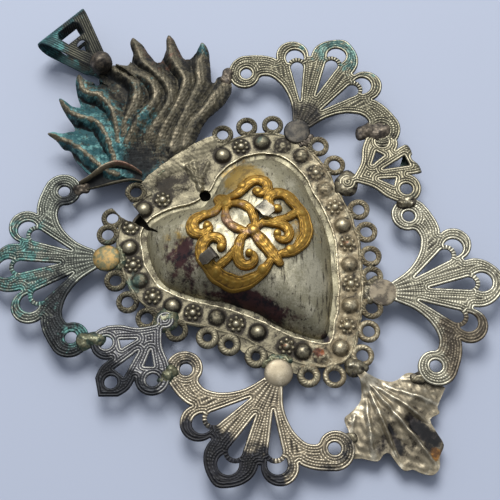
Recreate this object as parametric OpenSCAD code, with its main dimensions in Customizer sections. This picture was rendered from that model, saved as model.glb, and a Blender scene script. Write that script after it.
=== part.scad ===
/* [Sheet metal] */
// Thickness of every pressed sheet
sheet = 0.45; // [0.35:0.05:0.55]
// Gap left where one curved piece lies over another
seat_gap = 0.06; // [0.04:0.01:0.1]

/* [Heart] */
// Width of the heart window, lobe to lobe
heart_w = 40.5; // [38:0.5:44]
// Depth of the pan behind the heart
pan_depth = 3; // [2.6:0.2:5]
// Thickness of the pan's wall and floor
pan_wall = 0.5; // [0.4:0.1:0.8]
// Distance that the pan's wall stands outside the window
pan_reach = 3.2; // [2.6:0.1:4]
// Height of the dome above the border
dome_rise = 7.4; // [5:0.2:9]
// Width of the flat ledge inside the window
ledge = 1.2; // [0.8:0.1:2]
// Radius of the nail hole at the cleft
nail_r = 1.25; // [1:0.05:1.5]

/* [Border] */
// Width of the beaded band
band_w = 5.2; // [4.8:0.1:6]
// Radius of a round boss
boss_r = 1.8; // [1.5:0.05:1.9]
// Height of a round boss
boss_h = 1.2; // [0.8:0.1:1.6]
// Radius of the bead in the middle of a rosette
bead_r = 0.8; // [0.6:0.05:0.9]
// Radius of the small beads round a rosette
grain_r = 0.4; // [0.3:0.05:0.5]
// Number of small beads round a rosette
grains = 7; // [5:1:8]
// Outer radius of an openwork loop
loop_r = 2.35; // [2.1:0.05:2.5]
// Radius of the hole in a loop
loop_hole_r = 1.25; // [1:0.05:1.4]

/* [Fans] */
// Radius of a large fan's foot disc
foot_r = 2.9; // [2.6:0.1:3]
// Length of a large fan's middle petal
fan_len = 25.6; // [24:0.2:27]
// Radius of the eye in a scroll
eye_r = 1.25; // [1:0.05:1.4]
// Radius of a small fan's foot
small_foot_r = 1.8; // [1.6:0.1:2]
// Length of a small fan's middle petal
small_len = 20.3; // [19.6:0.1:21]
// Radius of the round holes in a small fan
small_hole_r = 1.3; // [1.1:0.05:1.4]

/* [Flame crown] */
// Height of the ridges over the flame crown's valleys
flame_h = 2.2; // [1.4:0.1:3]
// Distance that the tongues' tips are bent forward
tip_lift = 1.4; // [0:0.1:1.8]
// Width of the solder seam at the crown's foot
seam_w = 1.2; // [0.8:0.1:1.6]

/* [Bail] */
// Clear depth inside the bail
bail_gap = 5.4; // [5:0.1:6]
// Width of the bail at its fold
bail_w = 14.4; // [12:0.2:16]
// Length of the bail from its foot to its fold
bail_len = 14; // [13:0.1:15]
// Angle at which the bail stands up from its foot
bail_tilt = 11; // [0:1:14]
// Radius of the ball of solder on the bail's foot
bail_ball_r = 2.5; // [2:0.1:2.8]

/* [Leaf and ornament] */
// Height of the leaf's ribs
leaf_h = 1.3; // [0.8:0.1:1.8]
// Width of an ornament strand
strand_w = 2.5; // [2.1:0.1:2.8]
// Height of the ornament over the dome
strand_h = 1.1; // [0.8:0.1:1.5]
// Width of a holding tab
tab_w = 2; // [1.6:0.1:2.2]
// Length of a holding tab over the ornament
tab_len = 3.4; // [3:0.1:4]

/* [Hidden] */

$fn = 48;
silver = "#a39b86";
dark_silver = "#6f6a5c";
teal_silver = "#5f7f78";
bright_silver = "#bdb6a2";
gilt = "#cf9a26";
solder_grey = "#b7b29c";

// Levels of the sandwich: pan, dome flange, border, then everything on the border
flange_z = pan_depth;
border_z = flange_z + sheet;
top_z = border_z + sheet;
plate_z = top_z + sheet;

// Window outline about the heart's middle: angle, radius at a width of 40.5
heart_mid = [0, -2];
heart_k = heart_w / 40.5;
WINDOW = [
    [0, 17.7], [12, 18.9], [25, 21.6], [35, 23.4], [44, 24.4], [52, 24.1],
    [62, 23.1], [72, 21.4], [80, 19.4], [86, 18.1], [92, 17.8], [98, 18.0],
    [104, 18.9], [110, 20.6], [116, 22.4], [124, 24.4], [132, 24.8], [142, 23.8],
    [152, 22.7], [162, 21.3], [171, 18.8], [180, 16.7], [191, 14.6], [203, 13.4],
    [218, 13.3], [234, 14.2], [248, 17.3], [259, 20.6], [266, 23.2], [270, 24.0],
    [274, 23.2], [281, 21.2], [293, 19.2], [312, 17.0], [336, 16.7], [349, 17.1],
];

function knot(k, i) =
    let (n = len(k), j = (i + n) % n, turn = i < 0 ? -360 : i >= n ? 360 : 0)
    [k[j][0] + turn, k[j][1]];
function slope(k, i) =
    (knot(k, i + 1)[1] - knot(k, i - 1)[1]) / (knot(k, i + 1)[0] - knot(k, i - 1)[0]);
// Smooth radius through the knots of a closed outline
function smooth_radius(k, angle) =
    let (
        a = angle - 360 * floor(angle / 360),
        i = max([for (j = [0:len(k) - 1]) if (k[j][0] <= a) j]),
        p = knot(k, i),
        q = knot(k, i + 1),
        h = q[0] - p[0],
        t = (a - p[0]) / h
    )
    (2 * t ^ 3 - 3 * t ^ 2 + 1) * p[1] + (t ^ 3 - 2 * t ^ 2 + t) * h * slope(k, i)
    + (3 * t ^ 2 - 2 * t ^ 3) * q[1] + (t ^ 3 - t ^ 2) * h * slope(k, i + 1);
function window_r(a) = heart_k * smooth_radius(WINDOW, a);
// Radius of the outline that lies a distance d outside the window
function grown_r(a, d) = max([
    for (b = [a - 30:2:a + 30])
        let (r = window_r(b), s = r * sin(b - a))
        if (abs(s) < d) r * cos(b - a) + sqrt(d * d - s * s)
]);
function polar(a, r) = heart_mid + r * [cos(a), sin(a)];
function grown(d, step = 4) = [for (a = [0:step:359]) polar(a, d == 0 ? window_r(a) : grown_r(a, d))];

// Smooth path through points, with n steps between two of them
function catmull(p, q, r, s, t) =
    0.5 * (2 * q + (r - p) * t + (2 * p - 5 * q + 4 * r - s) * t ^ 2 + (3 * q - p - 3 * r + s) * t ^ 3);
function smooth_path(pts, n = 4) =
    let (m = len(pts) - 1)
    concat(
        [
            for (i = [0:m - 1], j = [0:n - 1])
                catmull(pts[max(i - 1, 0)], pts[i], pts[i + 1], pts[min(i + 2, m)], j / n)
        ],
        [pts[m]]
    );
function mirrored(pts) = [for (p = pts) [-p[0], p[1]]];
function reversed(pts) = [for (i = [len(pts) - 1:-1:0]) pts[i]];
function turned(p, a) = [p[0] * cos(a) - p[1] * sin(a), p[0] * sin(a) + p[1] * cos(a)];

// Closed solid between two like grids of points, the upper and the lower one
module grid_solid(top, bottom) {
    rows = len(top);
    cols = len(top[0]);
    count = rows * cols;
    function at(i, j, low) = i * cols + j + (low ? count : 0);
    faces = concat(
        [for (i = [0:rows - 2], j = [0:cols - 2]) each [
            [at(i, j, false), at(i, j + 1, false), at(i + 1, j + 1, false)],
            [at(i, j, false), at(i + 1, j + 1, false), at(i + 1, j, false)],
            [at(i, j, true), at(i + 1, j + 1, true), at(i, j + 1, true)],
            [at(i, j, true), at(i + 1, j, true), at(i + 1, j + 1, true)],
        ]],
        [for (i = [0:rows - 2]) each [
            [at(i, 0, false), at(i + 1, 0, false), at(i + 1, 0, true)],
            [at(i, 0, false), at(i + 1, 0, true), at(i, 0, true)],
            [at(i, cols - 1, false), at(i + 1, cols - 1, true), at(i + 1, cols - 1, false)],
            [at(i, cols - 1, false), at(i, cols - 1, true), at(i + 1, cols - 1, true)],
        ]],
        [for (j = [0:cols - 2]) each [
            [at(0, j, false), at(0, j + 1, true), at(0, j + 1, false)],
            [at(0, j, false), at(0, j, true), at(0, j + 1, true)],
            [at(rows - 1, j, false), at(rows - 1, j + 1, false), at(rows - 1, j + 1, true)],
            [at(rows - 1, j, false), at(rows - 1, j + 1, true), at(rows - 1, j, true)],
        ]]
    );
    polyhedron(concat([for (row = top) each row], [for (row = bottom) each row]), faces);
}

// Height of the dome over the border's seat, by angle and share of the window's radius
function cleft_fold(a, s) = 1 - 0.45 * exp(-((a - 92) / 15) ^ 2) * s ^ 3;
function swell(u) = u >= 1 ? 0 : (1 - u ^ 2.3) ^ 0.72;
function dome_h(a, s) =
    let (r = window_r(a))
    dome_rise * swell(s * r / (r - ledge)) * cleft_fold(a, s);
function dome_z(p) =
    let (
        d = p - heart_mid,
        a = atan2(d[1], d[0]),
        b = a < 0 ? a + 360 : a
    )
    border_z + dome_h(b, norm(d) / window_r(b));
function lean(p) =
    let (e = 0.4)
    [
        (dome_z(p + [e, 0]) - dome_z(p - [e, 0])) / (2 * e),
        (dome_z(p + [0, e]) - dome_z(p - [0, e])) / (2 * e),
    ];

// Split in the left lobe, from its outer edge into the dome
split = [[-13.8, 27.4], [-14, 17.5], [-13.6, 13], [-14.7, 16.6], [-17.6, 22.4], [-17.9, 25.2]];
module crack() {
    translate([0, 0, flange_z - 1])
        linear_extrude(dome_rise + 4)
            scale(heart_k)
                polygon(split);
}

module nail_hole() {
    translate(concat(polar(91, window_r(91)), [flange_z - 1]))
        cylinder(r = nail_r, h = 6);
}

module back_pan() {
    color(dark_silver)
        difference() {
            linear_extrude(pan_depth)
                polygon(grown(pan_reach));
            translate([0, 0, pan_wall])
                linear_extrude(pan_depth)
                    polygon(grown(pan_reach - pan_wall));
        }
}

tab_seats = [[5.2, 3.8, 6], [-8.1, 1.3, -90]];

module heart_dome() {
    turns = 72;
    shares = [1, 0.945, 0.92, 0.88, 0.82, 0.74, 0.64, 0.52, 0.38, 0.2, 0.02];
    function on_top(a, s) = concat(polar(a, window_r(a) * s), [border_z + dome_h(a, s)]);
    function flange(a) = concat(polar(a, grown_r(a, pan_reach - pan_wall)), [border_z]);
    function under(a, s) =
        let (
            e = 0.01,
            rise = (dome_h(a, max(s - e, 0)) - dome_h(a, s + e)) / (2 * e * window_r(a)),
            n = [rise, 1] / norm([rise, 1]),
            r = max(window_r(a) * s - sheet * n[0], 0.1)
        )
        concat(polar(a, r), [border_z + dome_h(a, s) - sheet * n[1]]);
    angles = [for (i = [0:turns]) 360 * i / turns];
    last = len(shares) - 1;
    top = concat([[for (a = angles) flange(a)]], [for (s = shares) [for (a = angles) on_top(a, s)]]);
    low = concat(
        [[for (a = angles) flange(a) - [0, 0, sheet]]],
        [for (s = shares) [for (a = angles) s > 0.93 ? on_top(a, s) - [0, 0, sheet] : under(a, s)]]
    );
    color(bright_silver)
        difference() {
            ring_solid(top, low);
            crack();
            nail_hole();
            for (t = tab_seats)
                tab_place(t)
                    translate([-tab_w / 2 - seat_gap, -sheet / 2 - seat_gap, -2])
                        cube([tab_w + 2 * seat_gap, sheet + 2 * seat_gap, 4]);
        }
}

// Closed solid from rings that run right round, from the rim to the middle
module ring_solid(top, bottom) {
    rows = len(top);
    n = len(top[0]) - 1;
    count = rows * n;
    function at(i, j, low) = i * n + j % n + (low ? count : 0);
    mid = 2 * count;
    walls = concat(
        [for (i = [0:rows - 2], j = [0:n - 1]) each [
            [at(i, j, false), at(i + 1, j + 1, false), at(i, j + 1, false)],
            [at(i, j, false), at(i + 1, j, false), at(i + 1, j + 1, false)],
            [at(i, j, true), at(i, j + 1, true), at(i + 1, j + 1, true)],
            [at(i, j, true), at(i + 1, j + 1, true), at(i + 1, j, true)],
        ]],
        [for (j = [0:n - 1]) each [
            [at(0, j, false), at(0, j + 1, false), at(0, j + 1, true)],
            [at(0, j, false), at(0, j + 1, true), at(0, j, true)],
            [at(rows - 1, j, false), mid, at(rows - 1, j + 1, false)],
            [at(rows - 1, j, true), at(rows - 1, j + 1, true), mid + 1],
        ]]
    );
    function open(row) = [for (j = [0:n - 1]) row[j]];
    function average(row) = [for (k = [0:2]) k < 2 ? heart_mid[k] : row[0][2]];
    polyhedron(
        concat(
            [for (row = top) each open(row)],
            [for (row = bottom) each open(row)],
            [average(top[rows - 1]), average(bottom[rows - 1])]
        ),
        walls
    );
}

// Angles about the heart's middle at which the border's bosses, rosettes and loops stand
boss_angles = [70, 50, 30, 9, 343, 316, 292, 272, 256, 233, 202, 176, 156, 139, 119];
rosette_angles = [60, 40, 19, 356, 330, 304, 282, 263, 249, 217, 187, 166, 147.5, 129, 110];
loop_angles = [
    67, 56.5, 46, 35, 25, 14, 3, 348.5, 335.5, 322, 311, 296, 286, 276.5, 263, 254, 243, 232, 216.5,
    203.5, 188, 174.5, 164, 153.5, 143.5, 134, 127, 113,
];
boss_reach = 2.6;
rosette_ring = 1.35;
function band_point(a, d) = polar(a, grown_r(a, d));
loop_reach = band_w + loop_r - sheet;

module cap(r, h) {
    ball = (r * r + h * h) / (2 * h);
    intersection() {
        translate([0, 0, h - ball])
            sphere(ball);
        cylinder(r = r + 1, h = h + 1);
    }
}

// A bead is left out where a foot disc covers its place
function covered(p, r) =
    len([for (f = concat(fan_feet, small_feet)) if (norm(p - foot_point(f)) < foot_r + r + seat_gap) f]) > 0;

module bosses() {
    for (a = boss_angles)
        if (!covered(band_point(a, boss_reach), boss_r))
            translate(concat(band_point(a, boss_reach), [0]))
                cap(boss_r, boss_h);
    for (a = rosette_angles) {
        p = band_point(a, boss_reach);
        if (!covered(p, bead_r))
            translate(concat(p, [0]))
                cap(bead_r, bead_r);
        for (g = [0:grains - 1]) {
            q = p + rosette_ring * [cos(360 * g / grains), sin(360 * g / grains)];
            if (!covered(q, grain_r))
                translate(concat(q, [0]))
                    cap(grain_r, grain_r);
        }
    }
}

// Plain apron across the cleft, where the flame crown stands
crown_foot = [0, band_point(91, band_w)[1] - 21];
apron = [
    [-10.4, 19], [-9.8, 26.2], [-7.6, 26.9], [-4, 27.2], [1, 27.4], [5.4, 27.2], [8, 26.8],
    [10, 26.2], [10.4, 19],
];

module heart_border() {
    color(silver)
        difference() {
            union() {
                translate([0, 0, border_z])
                    linear_extrude(sheet)
                        difference() {
                            union() {
                                polygon(grown(band_w, 3));
                                translate(crown_foot)
                                    polygon(apron);
                                for (a = loop_angles)
                                    translate(band_point(a, loop_reach))
                                        circle(loop_r);
                            }
                            polygon(grown(0, 3));
                            for (a = loop_angles)
                                translate(band_point(a, loop_reach))
                                    circle(loop_hole_r);
                        }
                translate([0, 0, top_z])
                    bosses();
            }
            crack();
            nail_hole();
        }
}

// Large fan: one half of its outline, middle petal, side petal and scrolled arm
tip_r = 3.7;
side_tip = [9, 16.4];
scroll_eye = [16.6, 8.2];
petal_half = [[0.9, 1.5], [1.7, 6], [3, 11], [4.6, 16], [5.3, 18.6], [5.3, 20.6], [4.4, 22.6], [2.6, 24.4]];
side_outer = [[0.9, 2.2], [4.9, 6.9], [9.6, 11.4], [12.3, 14.7]];
side_inner = [[4.9, 18.2], [3.2, 14], [1, 8.2], [0.2, 2.4]];
arm_outer = [[0.6, 2.6], [4.4, 8.6], [8.4, 12.6], [11.6, 14.1], [14.4, 13.9], [17, 12.9], [18.9, 11.9]];
arm_inner = [[13.4, 8.6], [12.9, 9.3], [10.9, 9.8], [7.6, 8.7], [4.3, 5.9], [2, 2]];

function scroll_r(a) = 3.3 + 1.1 * (a + 170) / 230;
scroll = [for (a = [50:-20:-170]) scroll_eye + scroll_r(a) * [cos(a), sin(a)]];

module side_half() {
    polygon(concat(smooth_path(side_outer), [side_tip], smooth_path(side_inner)));
    translate(side_tip)
        circle(tip_r);
    difference() {
        polygon(concat(smooth_path(arm_outer), scroll, smooth_path(arm_inner)));
        translate(scroll_eye)
            circle(eye_r);
    }
}

// Drop-shaped hole from its point to the centre of its round end
module drop_hole(point, centre, r) {
    d = centre - point;
    // The wedge's corners lie just inside the circle, so its sides cross it cleanly
    across = [-d[1], d[0]] / norm(d) * (r - 0.03);
    polygon([point, centre + across, centre - across]);
    translate(centre)
        circle(r);
}

// Crescent hole, between the round end of a petal's bridge and its tip
module crescent(centre, r, back) {
    difference() {
        translate(centre)
            circle(r);
        translate(centre - back)
            circle(r + 0.2);
    }
}

module fan_plate() {
    difference() {
        union() {
            circle(foot_r);
            polygon(smooth_path(concat(petal_half, [[0, fan_len]], reversed(mirrored(petal_half)))));
            side_half();
            mirror([1, 0])
                side_half();
        }
        drop_hole([0, 9.8], [0, 17.9], 1.4);
        crescent([0, 20.7], 2.1, [0, 2.8]);
        for (m = [0, 1])
            mirror([m, 0]) {
                drop_hole([2.6, 7.2], [6.8, 14.2], 1.4);
                crescent([8.3, 16.2], 2, [1.43, 1.9]);
            }
    }
}

// Where each large fan's foot stands: angle about the heart's middle, reach past the
// window, and the way that the fan points
fan_feet = [
    [35.7, 7, 26],
    [304.4, 9.1, -31.5],
    [242, 8.4, 204],
    [144, 7.6, 149],
];
function foot_point(f) = band_point(f[0], f[1]);
function in_place(f, p) = foot_point(f) + turned(p, f[2] - 90);

module fan(i) {
    f = fan_feet[i];
    translate(concat(foot_point(f), [top_z]))
        rotate(f[2] - 90) {
            linear_extrude(sheet)
                fan_plate();
            translate([0, 0, sheet])
                cap(foot_r - 0.2, i == 2 ? 0.7 : 0.25);
        }
}

module fan_upper_right() {
    color(teal_silver)
        fan(0);
}

module fan_lower_right() {
    color(silver)
        fan(1);
}

module fan_lower_left() {
    color(silver)
        fan(2);
}

module fan_upper_left() {
    color(teal_silver)
        fan(3);
}

// Small fan: pointed middle petal and two side petals with round holes
small_half = [[0.8, 1], [1.2, 5], [1.9, 8.6], [3, 12], [3.7, 15.4], [3, 17.9]];
small_side_outer = [[0.6, 1.6], [3.2, 4.6], [6.4, 6.4], [8.6, 8.4]];
small_side_inner = [[4, 13.6], [2, 11], [0.8, 6], [0.2, 2]];
small_tip = [5.9, 10.9];
small_tip_r = 3.5;
small_fold = 15.2;

module small_fan_plate() {
    difference() {
        union() {
            circle(small_foot_r);
            half = smooth_path(small_half);
            polygon(concat(half, [[0, small_len]], reversed(mirrored(half))));
            for (m = [0, 1])
                mirror([m, 0]) {
                    polygon(concat(
                        smooth_path(small_side_outer), [small_tip], smooth_path(small_side_inner)
                    ));
                    translate(small_tip)
                        circle(small_tip_r);
                }
        }
        polygon([[0, 8.4], [1.3, 14.2], [-1.3, 14.2]]);
        translate([0, 16.6])
            circle(small_hole_r);
        for (m = [0, 1])
            mirror([m, 0]) {
                translate(small_tip + [0.3, 0.2])
                    circle(small_hole_r);
                polygon([[1.9, 6.7], [4.5, 8.9], [3, 10]]);
            }
    }
}

small_feet = [[3.1, 7.6, -15.5], [180.7, 6.1, 194]];

module small_fan_right() {
    f = small_feet[0];
    fold_r = 0.6 + sheet;
    // The tip of the middle petal is bent down and back under the plate
    color(silver)
        translate(concat(foot_point(f), [plate_z]))
            rotate(f[2] - 90) {
                linear_extrude(sheet)
                    intersection() {
                        small_fan_plate();
                        translate([-12, -4])
                            square([24, small_fold + 4]);
                    }
                translate([-3.7, small_fold, sheet - fold_r])
                    rotate([0, 90, 0])
                        rotate_bend(fold_r, 7.4);
                translate([0, 0, sheet - 2 * fold_r])
                    linear_extrude(sheet)
                        translate([0, 2 * small_fold])
                            mirror([0, 1])
                                intersection() {
                                    small_fan_plate();
                                    translate([-12, small_fold])
                                        square([24, 8]);
                                }
            }
}

// Half a turn of bent sheet, its axis along Z
module rotate_bend(r, w) {
    rotate_extrude(angle = 180)
        translate([r - sheet, 0])
            square([sheet, w]);
}

module small_fan_left() {
    f = small_feet[1];
    color(silver)
        translate(concat(foot_point(f), [plate_z]))
            rotate(f[2] - 90)
                linear_extrude(sheet)
                    small_fan_plate();
}

// Leaf: its edge, clockwise from the stem, and the middle that its ribs spread from
leaf_reach = 9.8;
leaf_drop = 1.2;
leaf_place = [0, band_point(270, leaf_reach)[1]];
leaf_mid = [0.6, -8.4];
leaf_edge = [
    [1.4, -0.6], [2.4, -1], [4.3, -3.7], [6, -4.5], [8.1, -4.5], [9.4, -5.4], [9.8, -7],
    [12.3, -11], [11.7, -11.9], [8.6, -13.5], [8.1, -14.7], [5.8, -14.5], [5.1, -17.2], [4.6, -19.9],
    [2.5, -21.1], [0.9, -22.8], [-1, -23], [-2.5, -21.4], [-3.3, -19.9], [-4.8, -19], [-5, -16.9],
    [-4.9, -14.7], [-6, -14.2], [-7.7, -14.5], [-9.8, -12.2], [-11.1, -10.8], [-8.6, -7.1],
    [-8, -5.2], [-7.3, -4], [-5.4, -3.9], [-2.3, -3.1], [-0.4, -0.6],
];

module leaf_sheet() {
    rings = [0.02, 0.3, 0.55, 0.8, 1];
    edge = concat(leaf_edge, [leaf_edge[0]]);
    rim = [for (i = [0:len(edge) - 2], k = [0, 0.5]) edge[i] + (edge[i + 1] - edge[i]) * k];
    loop = concat(rim, [rim[0]]);
    // The sheet swells towards the middle and is folded along ribs that alternate
    function height(i, s) = leaf_h * (1 - s ^ 2) + 0.35 * leaf_h * s * (1 - s) * 4 * cos(i * 90);
    function point(i, s) = concat(leaf_mid + (loop[i] - leaf_mid) * s, [height(i, s)]);
    low = [for (i = [0:len(loop) - 1]) [for (s = rings) point(i, s)]];
    top = [for (spoke = low) [for (p = spoke) p + [0, 0, sheet]]];
    resize([0, 0, 0])
        union() {
            ring_leaf(top, low);
            stem = [[3.4, 0], [1.2, 0], [0, -0.4], [-2.6, -0.95]];
            under = [for (q = stem) [for (x = [1.7, -0.1]) [x, q[0], leaf_drop + q[1]]]];
            grid_solid([for (r = reversed(under)) [for (p = r) p + [0, 0, sheet]]], reversed(under));
        }
}

module leaf() {
    color(silver)
        translate(concat(leaf_place, [top_z - leaf_drop]))
            leaf_sheet();
}

// Closed solid from spokes that run out from a middle to a rim
module ring_leaf(top, bottom) {
    spokes = len(top) - 1;
    cols = len(top[0]);
    count = spokes * cols;
    function at(i, j, low) = (i % spokes) * cols + j + (low ? count : 0);
    middle = 2 * count;
    faces = concat(
        [for (i = [0:spokes - 1], j = [0:cols - 2]) each [
            [at(i, j, false), at(i, j + 1, false), at(i + 1, j + 1, false)],
            [at(i, j, false), at(i + 1, j + 1, false), at(i + 1, j, false)],
            [at(i, j, true), at(i + 1, j + 1, true), at(i, j + 1, true)],
            [at(i, j, true), at(i + 1, j, true), at(i + 1, j + 1, true)],
        ]],
        [for (i = [0:spokes - 1]) each [
            [at(i, cols - 1, false), at(i, cols - 1, true), at(i + 1, cols - 1, true)],
            [at(i, cols - 1, false), at(i + 1, cols - 1, true), at(i + 1, cols - 1, false)],
            [at(i, 0, false), at(i + 1, 0, false), middle],
            [at(i, 0, true), middle + 1, at(i + 1, 0, true)],
        ]]
    );
    function flat(rows) = [for (i = [0:spokes - 1]) each rows[i]];
    polyhedron(
        concat(flat(top), flat(bottom), [concat(leaf_mid, [leaf_h + sheet]), concat(leaf_mid, [leaf_h])]),
        faces
    );
}

// Flame crown: valleys between the tongues, and each tongue's ridge from foot to tip
valley_feet = [[-9.6, 26.4], [-8, 27], [-6.4, 27.2], [-4.6, 27.3], [-2.6, 27.3], [-0.6, 27.3], [1.6, 27.2], [4.4, 26.6]];
valley_mids = [
    [-13.4, 32], [-11, 34], [-8.6, 37], [-5.6, 39.5], [1.2, 38.6], [6.4, 37.4], [8.8, 35.4], [10, 31.6],
];
valley_tops = [
    [-16.9, 36.6], [-14.1, 45.5], [-9.7, 49.6], [-3, 51.7], [5, 51.5], [11.5, 48.6], [17.1, 44.7], [17.4, 36.6],
];
ridge_feet = [[-9, 27], [-7.4, 27.4], [-5.6, 27.6], [-3.6, 27.6], [-1.6, 27.6], [0.6, 27.5], [3, 27.2]];
ridge_mids = [
    [[-12.6, 33.6], [-15, 40]], [[-9.8, 36.6], [-9.4, 43.6]], [[-6, 39.4], [-3.8, 46.6]],
    [[-1, 39.8], [3.4, 45]], [[4.6, 39.2], [8.4, 46]], [[7.6, 36.4], [12.8, 42.6]], [[8.6, 34.2], [16.4, 40]],
];
tips = [[-19.2, 47.8], [-12.4, 53.6], [-5.4, 56.4], [0.6, 57], [9.8, 57.2], [16.6, 52.8], [21.6, 46.6]];

// Tongues of one sheet: they share their valley lines up to where they part
module tongues() {
    parted = 8;
    function side(i, j, b) =
        concat(
            smooth_path([valley_feet[j], valley_mids[j], valley_tops[j]], 4),
            [for (t = [1:4]) valley_tops[j] + (tips[i] + [b, 0] - valley_tops[j]) * t / 4]
        );
    function ridge(i) = smooth_path(concat([ridge_feet[i]], ridge_mids[i], [tips[i]]), 4);
    rows = 13;
    function height(k) = flame_h * sin(180 * min(k / rows + 0.08, 1)) + 0.3;
    // The middle tongue stays flat under the bail's foot
    function lift(i, k) = i == 3 ? 0 : tip_lift * pow(max(k - parted, 0) / (rows - 1 - parted), 1.3);
    function row(l, m, r, k, z) = [
        concat(r[k], [z]),
        concat((r[k] + m[k]) / 2, [z + height(k) * 0.35]),
        concat(m[k], [z + height(k)]),
        concat((l[k] + m[k]) / 2, [z + height(k) * 0.35]),
        concat(l[k], [z]),
    ];
    low = [for (i = [0:6]) let (l = side(i, i, -0.3), m = ridge(i), r = side(i, i + 1, 0.3))
        for (k = [0:rows - 1]) each row(l, m, r, k, lift(i, k))];
    top = [for (p = low) p + [0, 0, sheet]];
    count = len(low);
    function at(i, k, j, under) = (i * rows + k) * 5 + j + (under ? count : 0);
    function wall(p, q, r, s) = [[p, q, r], [p, r, s]];
    faces = concat(
        [for (i = [0:6], k = [0:rows - 2], j = [0:3]) each concat(
            wall(at(i, k, j, false), at(i, k, j + 1, false), at(i, k + 1, j + 1, false), at(i, k + 1, j, false)),
            wall(at(i, k, j, true), at(i, k + 1, j, true), at(i, k + 1, j + 1, true), at(i, k, j + 1, true))
        )],
        [for (i = [0:6], k = [0:rows - 2]) if (i == 6 || k >= parted) each
            wall(at(i, k, 0, false), at(i, k + 1, 0, false), at(i, k + 1, 0, true), at(i, k, 0, true))],
        [for (i = [0:6], k = [0:rows - 2]) if (i == 0 || k >= parted) each
            wall(at(i, k, 4, false), at(i, k, 4, true), at(i, k + 1, 4, true), at(i, k + 1, 4, false))],
        [for (i = [0:6], j = [0:3]) each concat(
            wall(at(i, 0, j, false), at(i, 0, j, true), at(i, 0, j + 1, true), at(i, 0, j + 1, false)),
            wall(at(i, rows - 1, j, false), at(i, rows - 1, j + 1, false),
                at(i, rows - 1, j + 1, true), at(i, rows - 1, j, true))
        )]
    );
    polyhedron(concat(top, low), faces);
}

// Arm: strap with raised edges that leaves the crown's foot for a fan's scroll
module arm(edges, lift) {
    a = smooth_path(edges[0], 4);
    b = smooth_path(edges[1], 4);
    c = smooth_path(edges[2], 4);
    n = len(b) - 1;
    low = [for (k = [0:n]) [
        concat(a[k], [0]), concat(b[k], [lift * min(1, 3 * (1 - k / n))]), concat(c[k], [0]),
    ]];
    top = [for (r = low) [for (p = r) p + [0, 0, sheet]]];
    grid_solid(top, low);
}

right_arm = [
    [[5, 26.8], [8.6, 28.8], [12.6, 31], [17, 32.2], [20.2, 33.4]],
    [[3.2, 27], [6.8, 30], [11.6, 32.6], [16.2, 34.4], [20.4, 36.2]],
    [[1.5, 27], [6, 31.2], [10, 34], [14.8, 36], [19.8, 38.2]],
];
left_arm = [
    [[-8.2, 28.2], [-9.6, 32.4], [-12.6, 34.9], [-16.4, 35], [-19.6, 34.4]],
    [[-9, 27.4], [-10.2, 30.4], [-13.6, 32.2], [-17, 32.6], [-19.8, 32.6]],
    [[-9.8, 26.4], [-11, 28], [-14.4, 29.2], [-17.4, 30.2], [-19.8, 31.2]],
];

module flame_crown() {
    color(teal_silver)
        translate(concat(crown_foot, [top_z]))
            resize([0, 0, 0])
                union() {
                    tongues();
                    arm(right_arm, 1);
                    arm(left_arm, 1.4);
                }
}

// Bail: strap bent into a loop, foot on the crown's front and tail on its back
bail_turn = 7.8;
bail_foot = [0.2, 55.6];
bail_front = top_z + sheet + 1.4;
bail_back = bail_front - bail_gap;
bail_half_w = bail_w / 2;
bail_out = bail_gap / 2 + sheet;
bail_fold = bail_len - bail_out;

module bail_place() {
    translate(crown_foot + bail_foot)
        rotate(bail_turn)
            children();
}

// The loop is tilted about the front end of its foot; the tail stays flat under the crown
bail_pivot = [-1.6, bail_front];

module bail_tilted() {
    translate([0, bail_pivot[0], bail_pivot[1]])
        rotate([bail_tilt, 0, 0])
            translate([0, -bail_pivot[0], -bail_pivot[1]])
                children();
}

function untilt(p) =
    let (d = p - bail_pivot)
    bail_pivot + [d[0] * cos(bail_tilt) + d[1] * sin(bail_tilt), d[1] * cos(bail_tilt) - d[0] * sin(bail_tilt)];

module bail() {
    mid_z = bail_front + sheet - bail_out;
    color(teal_silver)
        bail_place()
            bail_tilted()
                difference() {
                    intersection() {
                        rotate([90, 0, 90])
                            translate([0, 0, -bail_w])
                                linear_extrude(2 * bail_w)
                                    bail_profile(bail_fold, mid_z, bail_out);
                        linear_extrude(20)
                            polygon([
                                [-4.6, -9.4], [4.6, -9.4], [4.6, -5.8], [2, -5.8], [1.9, 0.5],
                                [bail_half_w, bail_len + 1], [-bail_half_w, bail_len + 1], [-1.9, 0.5],
                                [-2, -5.8], [-4.6, -5.8],
                            ]);
                    }
                    translate([0, 0, mid_z])
                        linear_extrude(20) {
                            drop_hole([0, 3.6], [0, 6.2], 1.1);
                            polygon([[-2.3, 8.3], [2.3, 8.3], [3, 10.8], [0, 12], [-3, 10.8]]);
                        }
                    // The same two cuts in the rear leg, nearer to the fold
                    translate([0, 0, mid_z - 20])
                        linear_extrude(20) {
                            polygon([[0, 4.2], [1.7, 8], [-1.7, 8]]);
                            polygon([[-2.8, 8.8], [2.8, 8.8], [3.4, 12.3], [-3.4, 12.3]]);
                        }
                }
}

module bail_profile(fold_y, mid_z, r_out) {
    translate([-1.6, bail_front])
        square([fold_y + 1.6, sheet]);
    translate([fold_y, mid_z])
        intersection() {
            difference() {
                circle(r_out);
                circle(r_out - sheet);
            }
            translate([0, -10])
                square([10, 20]);
        }
    tail_z = bail_back - sheet;
    under = top_z - seat_gap;
    polygon([
        [fold_y, tail_z], [fold_y, tail_z + sheet], [2.8, tail_z + sheet], untilt([-2, under]),
        untilt([-8.4, under]), untilt([-8.4, under - sheet]), untilt([-2.2, under - sheet]), [2.6, tail_z],
    ]);
}

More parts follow.
